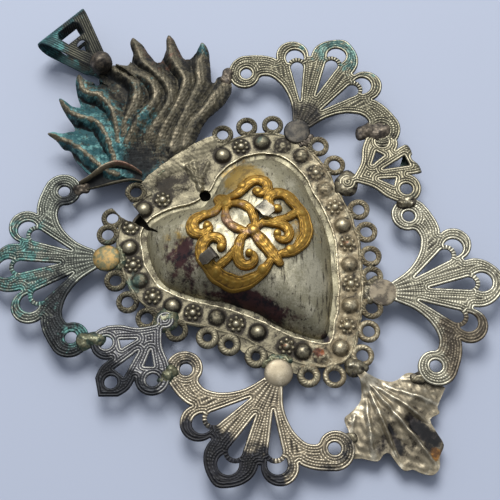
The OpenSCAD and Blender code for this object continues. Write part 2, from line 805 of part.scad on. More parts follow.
// Ornament: strands that lie over the dome, mirrored about its axis
ornament_mid = [0.8, 1.2];
function spiral(eye, r0, r1, a0, a1, n) =
    [for (i = [0:n]) let (t = i / n, a = a0 + (a1 - a0) * t) eye + (r0 + (r1 - r0) * t) * [cos(a), sin(a)]];
side_scroll = concat(
    smooth_path([[1.2, -8.2], [4.6, -9], [8.8, -7.4], [11.2, -3.4], [11.3, 0.4]], 3),
    spiral([8.1, 1.2], 3.2, 1.2, 0, 235, 9)
);
top_scroll = concat(
    smooth_path([[0.6, 9.6], [3.2, 8.6], [6.4, 9.3]], 3),
    spiral([7.2, 6.6], 2.7, 0.9, 85, -170, 9)
);
low_scroll = concat(
    smooth_path([[0.6, -0.6], [3, -0.7], [5, -2.4]], 3),
    spiral([4.1, -4.8], 2.3, 0.8, 50, -190, 8)
);
heart_leaf = smooth_path([[0, 8.4], [2.1, 5.8], [2.6, 3.2], [1.6, 0.6], [0, -1.6]], 4);
side_bar = smooth_path([[5.2, -1.6], [7.6, -2.4], [11.2, -2.2]], 3);

module strand(pts, w) {
    n = len(pts) - 1;
    function dir(k) = let (d = pts[min(k + 1, n)] - pts[max(k - 1, 0)]) d / norm(d);
    function half(k) = w / 2 * (0.45 + 0.55 * sin(180 * min(1, (k + 0.6) / (n + 1.2))));
    function side(k, s) = ornament_mid + pts[k] + s * half(k) * [-dir(k)[1], dir(k)[0]];
    function seat(p) = dome_z(p) + 1.6 * seat_gap;
    low = [for (k = [0:n]) [for (s = [-1, 0, 1]) let (p = side(k, s)) concat(p, [seat(p)])]];
    top = [for (k = [0:n]) [
        for (s = [-1, 0, 1])
            let (p = side(k, s))
            concat(p, [seat(p) + strand_h * (s == 0 ? 1 : 0.62)])
    ]];
    grid_solid(top, low);
}

module gilt_ornament() {
    color(gilt)
        resize([0, 0, 0])
            union() {
                for (m = [1, -1]) {
                    strand([for (p = side_scroll) [m * p[0], p[1]]], strand_w);
                    strand([for (p = top_scroll) [m * p[0], p[1]]], 0.92 * strand_w);
                    strand([for (p = low_scroll) [m * p[0], p[1]]], 0.76 * strand_w);
                    strand([for (p = heart_leaf) [m * p[0], p[1]]], 0.68 * strand_w);
                    strand([for (p = side_bar) [m * p[0], p[1]]], 0.6 * strand_w);
                }
                strand([[0, -9.6], [0, -6.6], [0, -3], [0, 0]], 0.96 * strand_w);
                strand([[0, 8], [0, 9.8], [0, 11.3]], 1.04 * strand_w);
            }
}

// A tab's place: root on the dome, turned to face the strand and leaned with the dome
module tab_place(t) {
    p = [t[0], t[1]];
    g = lean(p);
    translate([p[0], p[1], dome_z(p)])
        rotate([atan(g[1]), -atan(g[0]), 0])
            rotate(t[2])
                children();
}

tab_lift = 0.5;

module ornament_tab(t) {
    color(bright_silver)
        tab_place(t) {
            translate([-tab_w / 2, -sheet / 2, -1.4])
                cube([tab_w, sheet, 1.4 + strand_h + tab_lift + sheet]);
            translate([-tab_w / 2, -tab_len, strand_h + tab_lift])
                cube([tab_w, tab_len, sheet]);
        }
}

module ornament_tab_right() {
    ornament_tab(tab_seats[0]);
}

module ornament_tab_left() {
    ornament_tab(tab_seats[1]);
}

// Solder run round a foot disc, seated on the loops and clear of the bosses; a small
// fan's foot also stands on a pad of it
module foot_solder(f, r, turn, sweep, pad) {
    run = 1.1;
    p = foot_point(f);
    color(solder_grey)
        difference() {
            translate(concat(p, [top_z]))
                rotate(f[0] + 180 + turn - sweep / 2)
                    rotate_extrude(angle = sweep)
                        polygon(concat(
                            pad > 0 ? [[0, 0]] : [[r, 0]],
                            [[r + run, 0], [r + run * 0.6, pad + sheet * 0.7], [r, pad + sheet * 1.2]],
                            pad > 0 ? [[r, pad], [0, pad]] : []
                        ));
            for (a = concat(boss_angles, rosette_angles)) {
                q = band_point(a, boss_reach);
                if (norm(q - p) < r + run + boss_r)
                    translate(concat(q, [top_z - 1]))
                        cylinder(r = boss_r + seat_gap, h = 4);
            }
        }
}

module solder_fan_upper_right() {
    foot_solder(fan_feet[0], foot_r, 62, 70, 0);
}

module solder_fan_lower_right() {
    foot_solder(fan_feet[1], foot_r, 0, 130, 0);
}

module solder_fan_lower_left() {
    foot_solder(fan_feet[2], foot_r, 0, 130, 0);
}

module solder_fan_upper_left() {
    foot_solder(fan_feet[3], foot_r, 0, 100, 0);
}

module solder_small_fan_right() {
    foot_solder(small_feet[0], small_foot_r, 0, 170, sheet);
}

module solder_small_fan_left() {
    foot_solder(small_feet[1], small_foot_r, 0, 170, sheet);
}

// Lump of solder on the plates' faces; the small fan's petal that lies there is cut out of it
module lump(p, r, h, over) {
    color(solder_grey)
        difference() {
            translate(concat(p, [plate_z]))
                rotate_extrude()
                    polygon([[0, 0], [r, 0], [r, 1.2 * sheet], [0.72 * r, 0.8 * h], [0.35 * r, 0.97 * h], [0, h]]);
            if (over >= 0)
                translate(concat(foot_point(small_feet[over]), [plate_z]))
                    rotate(small_feet[over][2] - 90)
                        linear_extrude(sheet)
                            small_fan_plate();
        }
}

// Solder that fills the step between the leaf's lobe and the scroll over it
module leaf_solder(p, r) {
    color(solder_grey)
        resize([0, 0, 0])
            difference() {
                translate(concat(p, [top_z - 0.4 * leaf_drop]))
                    cylinder(r = r, h = 0.4 * leaf_drop, $fn = 24);
                translate(concat(leaf_place, [top_z - leaf_drop]))
                    leaf_sheet();
            }
}

function eye(i, side) = in_place(fan_feet[i], [side * scroll_eye[0], scroll_eye[1]]);
function petal_eye(i, side) = in_place(small_feet[i], [side * small_tip[0], small_tip[1]]);
function between(p, q, t) = p + (q - p) * t;

module solder_leaf_stem() {
    color(solder_grey)
        difference() {
            translate(concat(leaf_place + [0.8, 2.2], [top_z]))
                cap(2, 1.2);
            translate(concat(leaf_place, [top_z - 1]))
                translate([-0.1, -4, 0])
                    cube([1.8, 7.4, sheet + 1]);
            translate(concat(leaf_place + [-3, -2.9], [top_z - 1]))
                cube([6, 3, 4]);
        }
}

module solder_crown_seam() {
    color(solder_grey)
        translate(concat(crown_foot, [top_z]))
            linear_extrude(sheet)
                polygon([[-9.4, 26.2 - seam_w], [4.6, 26.2 - seam_w], [4.8, 26.2], [-9.6, 26.1]]);
}

module solder_bail_ball() {
    color(dark_silver)
        resize([0, 0, 0])
            difference() {
                bail_place()
                    intersection() {
                        translate([0, 0, bail_front + 1])
                            sphere(bail_ball_r, $fn = 32);
                        translate([-4, -4, plate_z + 0.5])
                            cube([8, 8, 8]);
                    }
                translate(concat(crown_foot, [top_z]))
                    tongues();
                bail();
            }
}

// Solder between an arm of the crown and a fan's scroll, cut to the arm's shape
module arm_solder(p, r, h, edges, lift) {
    color(solder_grey)
        resize([0, 0, 0])
            difference() {
                translate(concat(crown_foot + p, [plate_z]))
                    cap(r, h, $fn = 32);
                translate(concat(crown_foot, [top_z]))
                    arm(edges, lift);
            }
}

module solder_link_crown_right() {
    arm_solder([21.4, 36.6], 1.9, 1.1, right_arm, 1);
}

module solder_link_crown_left() {
    arm_solder([-20.5, 33], 1.5, 0.9, left_arm, 1.4);
}

module solder_link_upper_right() {
    lump(between(eye(0, 1), petal_eye(0, -1), 0.1) + [-0.6, 0.8], 2.6, 1.3, 0);
}

module solder_link_right() {
    lump(between(eye(1, -1), petal_eye(0, 1), 0.47), 1.6, 1.2, 0);
}

module solder_link_leaf_right() {
    leaf_solder(leaf_place + [9.6, -6.8], 1.3);
}

module solder_link_leaf_left() {
    leaf_solder(leaf_place + [-9, -7.8], 1);
}

module solder_link_lower_left() {
    lump(between(eye(2, 1), petal_eye(1, -1), 0.5), 1.8, 1.2, 1);
}

module solder_link_left() {
    lump(between(eye(3, -1), petal_eye(1, 1), 0.55), 2.4, 1.1, 1);
}

back_pan();
heart_dome();
heart_border();
flame_crown();
bail();
fan_upper_right();
fan_lower_right();
fan_lower_left();
fan_upper_left();
small_fan_right();
small_fan_left();
leaf();
gilt_ornament();
ornament_tab_right();
ornament_tab_left();
solder_fan_upper_right();
solder_fan_lower_right();
solder_fan_lower_left();
solder_fan_upper_left();
solder_small_fan_right();
solder_small_fan_left();
solder_leaf_stem();
solder_crown_seam();
solder_bail_ball();
solder_link_crown_right();
solder_link_upper_right();
solder_link_right();
solder_link_leaf_right();
solder_link_leaf_left();
solder_link_lower_left();
solder_link_left();
solder_link_crown_left();
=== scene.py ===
import math

import bpy
import numpy as np
from mathutils import Matrix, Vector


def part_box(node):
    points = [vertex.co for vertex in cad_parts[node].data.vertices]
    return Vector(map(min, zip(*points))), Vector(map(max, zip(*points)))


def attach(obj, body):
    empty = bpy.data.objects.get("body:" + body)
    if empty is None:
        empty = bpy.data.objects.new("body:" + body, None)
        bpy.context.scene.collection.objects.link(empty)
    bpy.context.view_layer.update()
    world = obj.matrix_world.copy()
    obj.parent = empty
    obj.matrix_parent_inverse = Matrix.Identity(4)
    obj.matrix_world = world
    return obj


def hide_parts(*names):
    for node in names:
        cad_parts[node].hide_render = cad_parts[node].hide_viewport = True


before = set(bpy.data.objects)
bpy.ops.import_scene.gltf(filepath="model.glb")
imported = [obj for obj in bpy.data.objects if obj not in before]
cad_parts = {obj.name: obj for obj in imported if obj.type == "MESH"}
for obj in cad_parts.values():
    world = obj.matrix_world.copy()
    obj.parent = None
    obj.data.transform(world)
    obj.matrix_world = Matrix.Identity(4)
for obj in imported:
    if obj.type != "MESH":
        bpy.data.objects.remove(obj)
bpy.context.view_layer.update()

# Back pan: a shallow tray of dull brass sheet that closes the hollow heart from
# behind. It is soldered to the dome's flange all round and only its wall shows.
MM = 0.001


def rgb(code):
    """sRGB hex colour as the linear values that Blender works in."""
    parts = [int(code[i:i + 2], 16) / 255 for i in (1, 3, 5)]
    return [p / 12.92 if p <= 0.04045 else ((p + 0.055) / 1.055) ** 2.4 for p in parts] + [1.0]


def new_material(name):
    mat = bpy.data.materials.new(name)
    mat.use_nodes = True
    mat.node_tree.nodes.clear()
    return mat, mat.node_tree


def add(tree, kind, links=(), **settings):
    """One shader node; links maps its inputs to values or to other nodes' outputs."""
    node = tree.nodes.new(kind)
    for key, value in settings.items():
        setattr(node, key, value)
    for key, value in dict(links).items():
        if isinstance(value, bpy.types.NodeSocket):
            tree.links.new(value, node.inputs[key])
        else:
            node.inputs[key].default_value = value
    return node


def blotches(tree, size_mm, detail=4.0, rough=0.55, seed=0.0, stretch=(1, 1, 1), turn=0.0):
    """Cloudy pattern whose patches are about size_mm across, in the object's own space."""
    place = add(tree, "ShaderNodeTexCoord").outputs["Object"]
    turned = add(tree, "ShaderNodeMapping", {
        "Vector": place, "Rotation": (0, 0, math.radians(turn))})
    scaled = add(tree, "ShaderNodeMapping", {"Vector": turned.outputs[0], "Scale": stretch,
                                             "Location": (seed, 0.3 * seed, 0.7 * seed)})
    return add(tree, "ShaderNodeTexNoise", {
        "Vector": scaled.outputs[0], "Scale": 1 / (size_mm * MM), "Detail": detail,
        "Roughness": rough}).outputs["Fac"]


def step_between(tree, low, high, value):
    """0 under low, 1 over high and smooth between them."""
    return add(tree, "ShaderNodeMapRange", {"Value": value, "From Min": low, "From Max": high},
               interpolation_type="SMOOTHSTEP").outputs["Result"]


def maths(tree, operation, a, b=0.0):
    """One sum, product or larger value of two."""
    return add(tree, "ShaderNodeMath", {0: a, 1: b}, operation=operation).outputs[0]


def swayed(tree, value, noise, share):
    """A value moved up and down by a cloudy pattern."""
    around_0 = maths(tree, "SUBTRACT", noise, 0.5)
    return maths(tree, "ADD", value, maths(tree, "MULTIPLY", around_0, share))


def mixed(tree, factor, a, b):
    """From colour a to colour b as the factor goes from 0 to 1."""
    node = add(tree, "ShaderNodeMix", {"Factor": factor}, data_type="RGBA")
    # The node's colour sockets are its inputs 6 and 7 and its output 2
    for socket, value in ((node.inputs[6], a), (node.inputs[7], b)):
        if isinstance(value, bpy.types.NodeSocket):
            tree.links.new(value, socket)
        else:
            socket.default_value = value
    return node.outputs[2]


def scaled_to(tree, value, low, high):
    return add(tree, "ShaderNodeMapRange", {
        "Value": value, "To Min": low, "To Max": high}).outputs["Result"]


# Sizes in mm of the patterns on old plated sheet. Real pits and scratches are finer, and
# are drawn here as coarse as they need to show.
CLOUD_MM, GRAIN_MM, PIT_MM, SCRATCH_MM, SKIN_MM = 2.6, 0.35, 0.6, 0.8, 0.2


def patina(name, crest, body, recess, stains=(), metal=0.75, rough=0.5, grain=0.5, streaks=0.0,
           pits=0.7):
    """Aged sheet metal: bright where hands rub the ridges and where pieces set painted highlights, dull and dark
    where dirt stays and where they set painted shade.

    stains are (mask attribute, light tone, dark tone, share of noise, patch size in mm,
    metal left)."""
    mat, tree = new_material(name)
    height = add(tree, "ShaderNodeAttribute", attribute_name="crest").outputs["Fac"]
    cloud = blotches(tree, CLOUD_MM, detail=6, seed=1)
    fine = blotches(tree, GRAIN_MM, detail=3, rough=0.7, seed=4)
    # The crest level swayed by noise: wear and dirt, and the painted highlights and painted shade that some
    # pieces put in it
    worn = swayed(tree, swayed(tree, height, cloud, 1.8 * grain), fine, 1.4 * grain)
    colour = mixed(tree, step_between(tree, 0.1, 0.5, worn), rgb(recess), rgb(body))
    colour = mixed(tree, step_between(tree, 0.55, 1.05, worn), colour, rgb(crest))
    # Pits hold black dirt
    pitted = step_between(tree, 0.56, 0.7, blotches(tree, PIT_MM, detail=6, rough=0.78, seed=30))
    colour = mixed(tree, maths(tree, "MULTIPLY", pitted, pits), colour, rgb(recess))
    if streaks:
        # Scratches from rubbing, with brown tarnish in them
        scratch = blotches(tree, SCRATCH_MM, detail=7, rough=0.75, seed=9, stretch=(1, 0.14, 1),
                           turn=38)
        scored = step_between(tree, 0.53, 0.62, scratch)
        colour = mixed(tree, maths(tree, "MULTIPLY", scored, streaks), colour, rgb("#2B221C"))
    clean = step_between(tree, 0.0, 0.9, worn)
    metallic = scaled_to(tree, clean, metal - 0.35, metal)
    for i, (mask, light, dark, noise_share, patch, metal_left) in enumerate(stains):
        level = add(tree, "ShaderNodeAttribute", attribute_name=mask).outputs["Fac"]
        cloud = blotches(tree, patch, detail=8, rough=0.68, seed=13 + 5 * i)
        cover = step_between(tree, 0.3, 0.7, swayed(tree, level, cloud, 2.2 * noise_share))
        shade = blotches(tree, patch, detail=6, rough=0.7, seed=50 + 5 * i)
        tone = step_between(tree, 0.42, 0.62, swayed(tree, shade, worn, 0.25))
        colour = mixed(tree, cover, colour, mixed(tree, tone, rgb(dark), rgb(light)))
        metallic = scaled_to(tree, cover, metallic, metal_left)
    gloss = swayed(tree, scaled_to(tree, clean, rough + 0.16, rough - 0.14), fine, 0.4)
    skin = add(tree, "ShaderNodeBump", {
        "Height": blotches(tree, SKIN_MM, detail=4, rough=0.7, seed=21), "Strength": 0.35,
        "Distance": 0.00006})
    shader = add(tree, "ShaderNodeBsdfPrincipled", {
        "Base Color": colour, "Metallic": metallic, "Roughness": gloss, "Normal": skin.outputs[0]})
    add(tree, "ShaderNodeOutputMaterial", {"Surface": shader.outputs[0]})
    return mat


# Bare brass gone dull brown, with no plating to shine
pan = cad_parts["back_pan"]
pan.data.materials.clear()
pan.data.materials.append(patina("dull_rolled_brass", "#8A8270", "#6B6455", "#4A4438", rough=0.55))

# Heart dome: pressed from one silvered sheet with a flat flange that lies between the
# pan and the border. It is rubbed, streaked, folded at the cleft and split at the left.
# Thickness of every stamping's sheet, in mm, and the heights at which they lie
SHEET = 0.45
FLANGE_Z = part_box("heart_dome")[0].z / MM
BORDER_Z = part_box("heart_border")[0].z / MM
TOP_Z = BORDER_Z + SHEET
PLATE_Z = TOP_Z + SHEET
DOME_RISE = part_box("heart_dome")[1].z / MM - BORDER_Z
LEDGE = 1.2
PAN_REACH = 3.2
HEART_MID = np.array([0.0, -2.0])
# The border's window: bearing from the heart's middle in degrees, and radius in mm
WINDOW = [
    (0, 17.7), (12, 18.9), (25, 21.6), (35, 23.4), (44, 24.4), (52, 24.1),
    (62, 23.1), (72, 21.4), (80, 19.4), (86, 18.1), (92, 17.8), (98, 18.0),
    (104, 18.9), (110, 20.6), (116, 22.4), (124, 24.4), (132, 24.8), (142, 23.8),
    (152, 22.7), (162, 21.3), (171, 18.8), (180, 16.7), (191, 14.6), (203, 13.4),
    (218, 13.3), (234, 14.2), (248, 17.3), (259, 20.6), (266, 23.2), (270, 24.0),
    (274, 23.2), (281, 21.2), (293, 19.2), (312, 17.0), (336, 16.7), (349, 17.1),
]
NAIL_ANGLE, NAIL_R = 91, 1.25
SPLIT = np.array([(-13.8, 27.4), (-14, 17.5), (-13.6, 13), (-14.7, 16.6), (-17.6, 22.4), (-17.9, 25.2)])


def window_r(angle):
    """Radius of the heart's window, a smooth curve through the knots."""
    a = np.mod(angle, 360.0)
    knots = [(WINDOW[-1][0] - 360, WINDOW[-1][1])] + WINDOW
    knots += [(WINDOW[0][0] + 360, WINDOW[0][1]), (WINDOW[1][0] + 360, WINDOW[1][1])]
    x = np.array([k[0] for k in knots], float)
    y = np.array([k[1] for k in knots], float)
    slope = np.zeros_like(y)
    slope[1:-1] = (y[2:] - y[:-2]) / (x[2:] - x[:-2])
    i = np.clip(np.searchsorted(x, a, side="right") - 1, 1, len(WINDOW))
    h = x[i + 1] - x[i]
    t = (a - x[i]) / h
    return ((2 * t**3 - 3 * t**2 + 1) * y[i] + (t**3 - 2 * t**2 + t) * h * slope[i]
            + (3 * t**2 - 2 * t**3) * y[i + 1] + (t**3 - t**2) * h * slope[i + 1])


def polar(angle, r):
    """Points at angles and radii about the heart's middle."""
    return HEART_MID + np.asarray(r)[..., None] * ray(np.radians(angle))


def grown_point(angle, d):
    """Point at a distance d outside the window, on the ray at an angle from its middle."""
    near = np.arange(angle - 30, angle + 30.1, 2)
    r = window_r(near)
    off = r * np.sin(np.radians(near - angle))
    reach = r * np.cos(np.radians(near - angle)) + np.sqrt(np.maximum(d * d - off**2, 0))
    return polar(angle, reach[np.abs(off) < d].max())


def ease(low, high, x):
    """0 at low, 1 at high and smooth between them."""
    t = np.clip((x - low) / (high - low), 0, 1)
    return t * t * (3 - 2 * t)


def bell(x, width):
    """1 at 0, falling off on both sides."""
    return np.exp(-(x / width) ** 2)


def even(p, value=0.0):
    """The same value at every point of a grid."""
    return np.full(p.shape[:-1], value)


def ray(turn):
    """Unit vectors at angles in radians."""
    return np.stack([np.cos(turn), np.sin(turn)], -1)


def bearing_of(to):
    """Angles of vectors, in degrees."""
    return np.degrees(np.arctan2(to[..., 1], to[..., 0]))


def ripple(p, size, seed, waves=7):
    """Gentle waves of about one size, in random directions, between about -1 and 1."""
    rng = np.random.default_rng(seed)
    total = 0.0
    for _ in range(waves):
        turn, stretch, phase = rng.uniform(0, 2 * np.pi), rng.uniform(0.6, 1.6), rng.uniform(0, 6.28)
        k = 2 * np.pi / size * stretch
        total = total + np.sin(k * (p[..., 0] * np.cos(turn) + p[..., 1] * np.sin(turn)) + phase)
    return total / waves**0.5 / 1.4


def spot(p, centre, r):
    """1 at a centre, falling to 0 at a distance r."""
    return 1 - ease(0, r, np.linalg.norm(p[..., :2] - np.array(centre), axis=-1))


def outline_distance(p, outline):
    """Signed distance to a closed outline, negative inside."""
    a = np.asarray(outline, float)
    best, inside = even(p, 1e9), even(p, False)
    for start, end in zip(a, np.roll(a, -1, 0)):
        edge, to = end - start, p - start
        t = np.clip((to @ edge) / max(edge @ edge, 1e-12), 0, 1)
        gap = to - t[..., None] * edge
        best = np.minimum(best, (gap**2).sum(-1))
        crosses = (start[1] > p[..., 1]) != (end[1] > p[..., 1])
        rise = edge[1] if abs(edge[1]) > 1e-12 else 1e-12
        inside ^= crosses & (p[..., 0] < (p[..., 1] - start[1]) * edge[0] / rise + start[0])
    return np.where(inside, -1, 1) * np.sqrt(best)


def round_distance(p, centre, r):
    """Signed distance to a circle, negative inside."""
    return np.linalg.norm(p - np.array(centre), axis=-1) - r


# Corners 0-3 run round a grid cell and 4-7 are the crossings on its edges
CELL_CUTS = {
    1: (0, 4, 7), 2: (4, 1, 5), 3: (0, 1, 5, 7), 4: (5, 2, 6), 5: (0, 4, 5, 2, 6, 7),
    6: (4, 1, 2, 6), 7: (0, 1, 2, 6, 7), 8: (7, 6, 3), 9: (0, 4, 6, 3),
    10: (4, 1, 5, 6, 3, 7), 11: (0, 1, 5, 6, 3), 12: (7, 5, 2, 3), 13: (0, 4, 5, 2, 3),
    14: (4, 1, 2, 3, 7), 15: (0, 1, 2, 3),
}


def cut_grid(values, distance):
    """Cuts a grid where the distance is 0: returns vertex values, triangles and rim edges."""
    ny, nx = distance.shape
    width = values.shape[-1]

    def crossing(a, b, da, db):
        t = np.clip(da / np.where(da == db, 1, da - db), 0.02, 0.98)
        return a + (b - a) * t[..., None]

    rows = crossing(values[:, :-1], values[:, 1:], distance[:, :-1], distance[:, 1:])
    cols = crossing(values[:-1], values[1:], distance[:-1], distance[1:])
    verts = np.concatenate([values.reshape(-1, width), rows.reshape(-1, width), cols.reshape(-1, width)])
    node = np.arange(ny * nx).reshape(ny, nx)
    row = node.size + np.arange(ny * (nx - 1)).reshape(ny, nx - 1)
    col = node.size + row.size + np.arange((ny - 1) * nx).reshape(ny - 1, nx)
    ids = np.stack([node[:-1, :-1], node[:-1, 1:], node[1:, 1:], node[1:, :-1],
                    row[:-1], col[:, 1:], row[1:], col[:, :-1]], -1)
    inside = (distance < 0).astype(int)
    case = inside[:-1, :-1] + 2 * inside[:-1, 1:] + 4 * inside[1:, 1:] + 8 * inside[1:, :-1]
    tris, rim = [], []
    for key, ring in CELL_CUTS.items():
        cells = ids[case == key]
        tris += [cells[:, [ring[0], ring[j], ring[j + 1]]] for j in range(1, len(ring) - 1)]
        rim += [cells[:, [a, b]] for a, b in zip(ring, ring[1:] + ring[:1]) if a > 3 and b > 3]
    tris, rim = np.concatenate(tris), np.concatenate(rim)
    used, tris = np.unique(tris, return_inverse=True)
    back = np.full(len(verts), -1)
    back[used] = np.arange(len(used))
    return verts[used], tris.reshape(-1, 3), back[rim]


def cut_sheet(p, solid, **levels):
    """Cuts a plan to its outline: returns x and y, the levels there, triangles and rim edges."""
    values = np.concatenate([p] + [level[..., None] for level in levels.values()], -1)
    verts, tris, rim = cut_grid(values, solid)
    return verts[:, :2], dict(zip(levels, verts[:, 2:].T)), tris, rim


def raised(xy, z):
    """Points of a plan at their heights."""
    return np.column_stack([xy, z])


def add_mesh(name, verts_mm, tris, masks, material, crease=50):
    """Mesh object from vertices in mm, with touching doubles joined."""
    _, first, back = np.unique(np.round(verts_mm, 4), axis=0, return_index=True, return_inverse=True)
    tris = back.reshape(-1)[tris]
    keep = (tris[:, 0] != tris[:, 1]) & (tris[:, 1] != tris[:, 2]) & (tris[:, 2] != tris[:, 0])
    tris, verts_mm = tris[keep], verts_mm[first]
    mesh = bpy.data.meshes.new(name)
    mesh.vertices.add(len(verts_mm))
    mesh.vertices.foreach_set("co", (verts_mm * MM).astype(np.float32).ravel())
    mesh.loops.add(tris.size)
    mesh.loops.foreach_set("vertex_index", tris.astype(np.int32).ravel())
    mesh.polygons.add(len(tris))
    mesh.polygons.foreach_set("loop_start", np.arange(0, tris.size, 3, dtype=np.int32))
    mesh.update()
    mesh.polygons.foreach_set("use_smooth", np.ones(len(tris), bool))
    mesh.set_sharp_from_angle(angle=math.radians(crease))
    for mask, level in masks.items():
        layer = mesh.attributes.new(mask, "FLOAT", "POINT")
        layer.data.foreach_set("value", np.asarray(level, np.float32)[first])
    mesh.materials.append(material)
    obj = bpy.data.objects.new(name, mesh)
    bpy.context.scene.collection.objects.link(obj)
    return obj


def take_place(obj, node):
    """The piece rides on the one rigid body and stands for its CAD node."""
    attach(obj, "root")
    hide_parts(node)


def sheet_mesh(node, word, top, low, tris, rim, masks, material, slot_name, crease=50):
    """Closed sheet between two like surfaces, walled along its rim, in a CAD node's place."""
    n = len(top)
    a, b = rim[:, 0], rim[:, 1]
    faces = np.concatenate([tris, tris[:, ::-1] + n, np.stack([a, a + n, b + n], 1),
                            np.stack([a, b + n, b], 1)])
    both = {k: np.concatenate([v, v * 0.6]) for k, v in masks.items()}
    obj = add_mesh(f"{node}_{word}", np.concatenate([top, low]), faces, both, material, crease)
    take_place(obj, node)


def dome_height(p):
    """Height of the dome above its ledge at points in the plane."""
    d = p - HEART_MID
    r = np.linalg.norm(d, axis=-1)
    a = bearing_of(d) % 360
    edge = window_r(a)
    share = r / edge
    u = np.clip(r / (edge - LEDGE), 0, 1)
    fold = 1 - 0.45 * bell(a - 92, 15) * share**3
    return DOME_RISE * (1 - u**2.3) ** 0.72 * fold


def dome_normal(p, e=0.05):
    """Direction out of the dome, 1 long in z."""
    slope = [(dome_height(p + step) - dome_height(p - step)) / (2 * e) for step in ((e, 0), (0, e))]
    return np.stack([-slope[0], -slope[1], np.ones_like(slope[0])], -1)


def heart_dome():
    turns, rings = ((480, 110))
    angle = np.linspace(0, 360, turns + 1)
    share = np.concatenate([np.linspace(0.004, 0.86, rings), np.linspace(0.865, 1.0, rings // 2)])
    a, s = np.meshgrid(angle, share, indexing="ij")
    edge = [np.linalg.norm(grown_point(x, PAN_REACH - 0.5) - HEART_MID) for x in angle[:-1]]
    flange = np.array(edge + edge[:1])
    r = np.concatenate([window_r(a) * s, window_r(a[:, :1]) + 0.6, flange[:, None] - 0.02,
                        flange[:, None] + 0.02], 1)
    a = np.concatenate([a, a[:, :3]], 1)
    p = polar(a, r)
    z = dome_height(p)
    lump = ease(0, 1.5, z)
    z = z + lump * (0.1 * ripple(p, 9, 3) + 0.03 * ripple(p, 2.4, 5))
    # The metal is pushed in beside the nail hole and along the crease below the split
    z = z - 0.9 * spot(p, (-2.6, 14.2), 3.4) - 0.5 * spot(p, (-13.2, 8.4), 3.2) * lump
    z = np.maximum(z, 0)
    hole = polar(NAIL_ANGLE, window_r(NAIL_ANGLE))
    solid = np.maximum(r - flange[:, None], -round_distance(p, hole, NAIL_R))
    solid = np.maximum(solid, -outline_distance(p, SPLIT))
    solid[:, 0] = -1
    crest = 0.62 + 0.2 * ease(0.4, 0.9, z / DOME_RISE) - 0.12 * ripple(p, 5, 8)
    # Painted shade: the crest level drops at the dome's foot, in the corner by the border
    crest = crest - 0.2 * ease(0.9, 0.0, z)
    # Painted highlights: two pale spots on the right of the dome, on the upper lobe and low down
    crest = crest + 0.35 * spot(p, (6, -15), 6) + 0.3 * spot(p, (8, 14), 5)
    # Painted shade with purplish brown tarnish on the lower-left slope below the ornament, black near the
    # heart's point
    bearing = np.cos(np.radians(a - 218))
    slope = ease(5.8, 3.2, z) * ease(-0.3, 0.4, z) * ease(0.35, 0.85, bearing)
    dark = slope * (0.5 + 0.6 * spot(p, (-7, -10), 9) - 0.3 * spot(p, (-1, -21), 5))
    dark = dark + 0.7 * spot(p, (0.2, -25), 2) + 0.85 * spot(p, (-13, 6), 7.5)
    dark = dark + 0.4 * spot(p, (-2, 1), 8)
    warm = 1.0 * spot(p, (8, 13), 8) + 0.5 * spot(p, (9, -6), 7) + 0.4 * spot(p, (-12, 9), 7)
    xy, masks, tris, rim = cut_sheet(p, solid, z=BORDER_Z + z, crest=crest, dark=dark, warm=warm)
    top = raised(xy, masks.pop("z"))
    normal = np.clip(dome_normal(xy), -3, 3)
    normal /= np.linalg.norm(normal, axis=1)[:, None]
    low = top - SHEET * normal
    low[:, 2] = np.maximum(low[:, 2], FLANGE_Z)
    # Silver plate rubbed thin: soft and pale on the rise with two painted highlights on the right,
    # warm where the brass shows through, purplish brown with old tarnish and painted shade on the lower-left
    # slope
    material = patina("rubbed_silvered_brass", "#CEC7AD", "#A09A80", "#554D3E", [
        ("warm", "#BE9F58", "#8C7546", 1.0, 3.0, 0.7),
        ("dark", "#4A2E2E", "#1E1A20", 0.8, 2.2, 0.45),
    ], metal=0.7, rough=0.54, grain=0.7, streaks=0.85)
    sheet_mesh("heart_dome", "pressed", top, low, tris, rim, masks, material, "silvered_sheet", 65)


heart_dome()

# Beaded border: one pressed sheet round the window with round bosses, beaded rosettes
# and a fringe of rope loops. Solder from later repairs has flooded some of the beads.
BAND_W = 5.2
LOOP_R, LOOP_HOLE_R = 2.35, 1.25
LOOP_REACH = BAND_W + LOOP_R - SHEET
BOSS_R, BOSS_H, BOSS_REACH = 1.8, 1.2, 2.6
BEAD_R, GRAIN_R, GRAINS, ROSETTE_RING = 0.8, 0.4, 7, 1.35
BOSSES = [70, 50, 30, 9, 343, 316, 292, 272, 256, 233, 202, 176, 156, 139, 119]
ROSETTES = [60, 40, 19, 356, 330, 304, 282, 263, 249, 217, 187, 166, 147.5, 129, 110]
LOOPS = [67, 56.5, 46, 35, 25, 14, 3, 348.5, 335.5, 322, 311, 296, 286, 276.5, 263, 254, 243, 232,
         216.5, 203.5, 188, 174.5, 164, 153.5, 143.5, 134, 127, 113]
# Share of solder run over a boss or rosette, by its bearing
FLOODED = {30: 0.75, 40: 0.85, 50: 0.35, 316: 0.5, 292: 0.3, 263: 0.7, 202: 0.5, 156: 0.55,
           19: 0.35, 9: 0.95}
# Creases below the nail hole, with their heights
CREASES = [
    ([(0.6, 23.6), (0.5, 20.5), (-0.2, 17.6)], 0.75),
    ([(2.4, 23.4), (1.4, 21), (0.9, 18.6)], 0.45),
    ([(5, 21.8), (3, 20.6), (1.6, 19.6)], 0.4),
    ([(-4.4, 21.6), (-2.4, 19.8)], 0.35),
]
APRON = [(-10.4, 19), (-9.8, 26.2), (-7.6, 26.9), (-4, 27.2), (1, 27.4), (5.4, 27.2), (8, 26.8),
         (10, 26.2), (10.4, 19)]
# Pitch of the cutting grid, and a distance that is far on a sheet of this size
CELL = 0.13
FAR = 9.0


def grid(low, high, cell):
    """Points of a square grid over a plan, row by row."""
    x = np.arange(low[0], high[0] + cell, cell)
    y = np.arange(low[1], high[1] + cell, cell)
    return np.stack(np.meshgrid(x, y), -1)


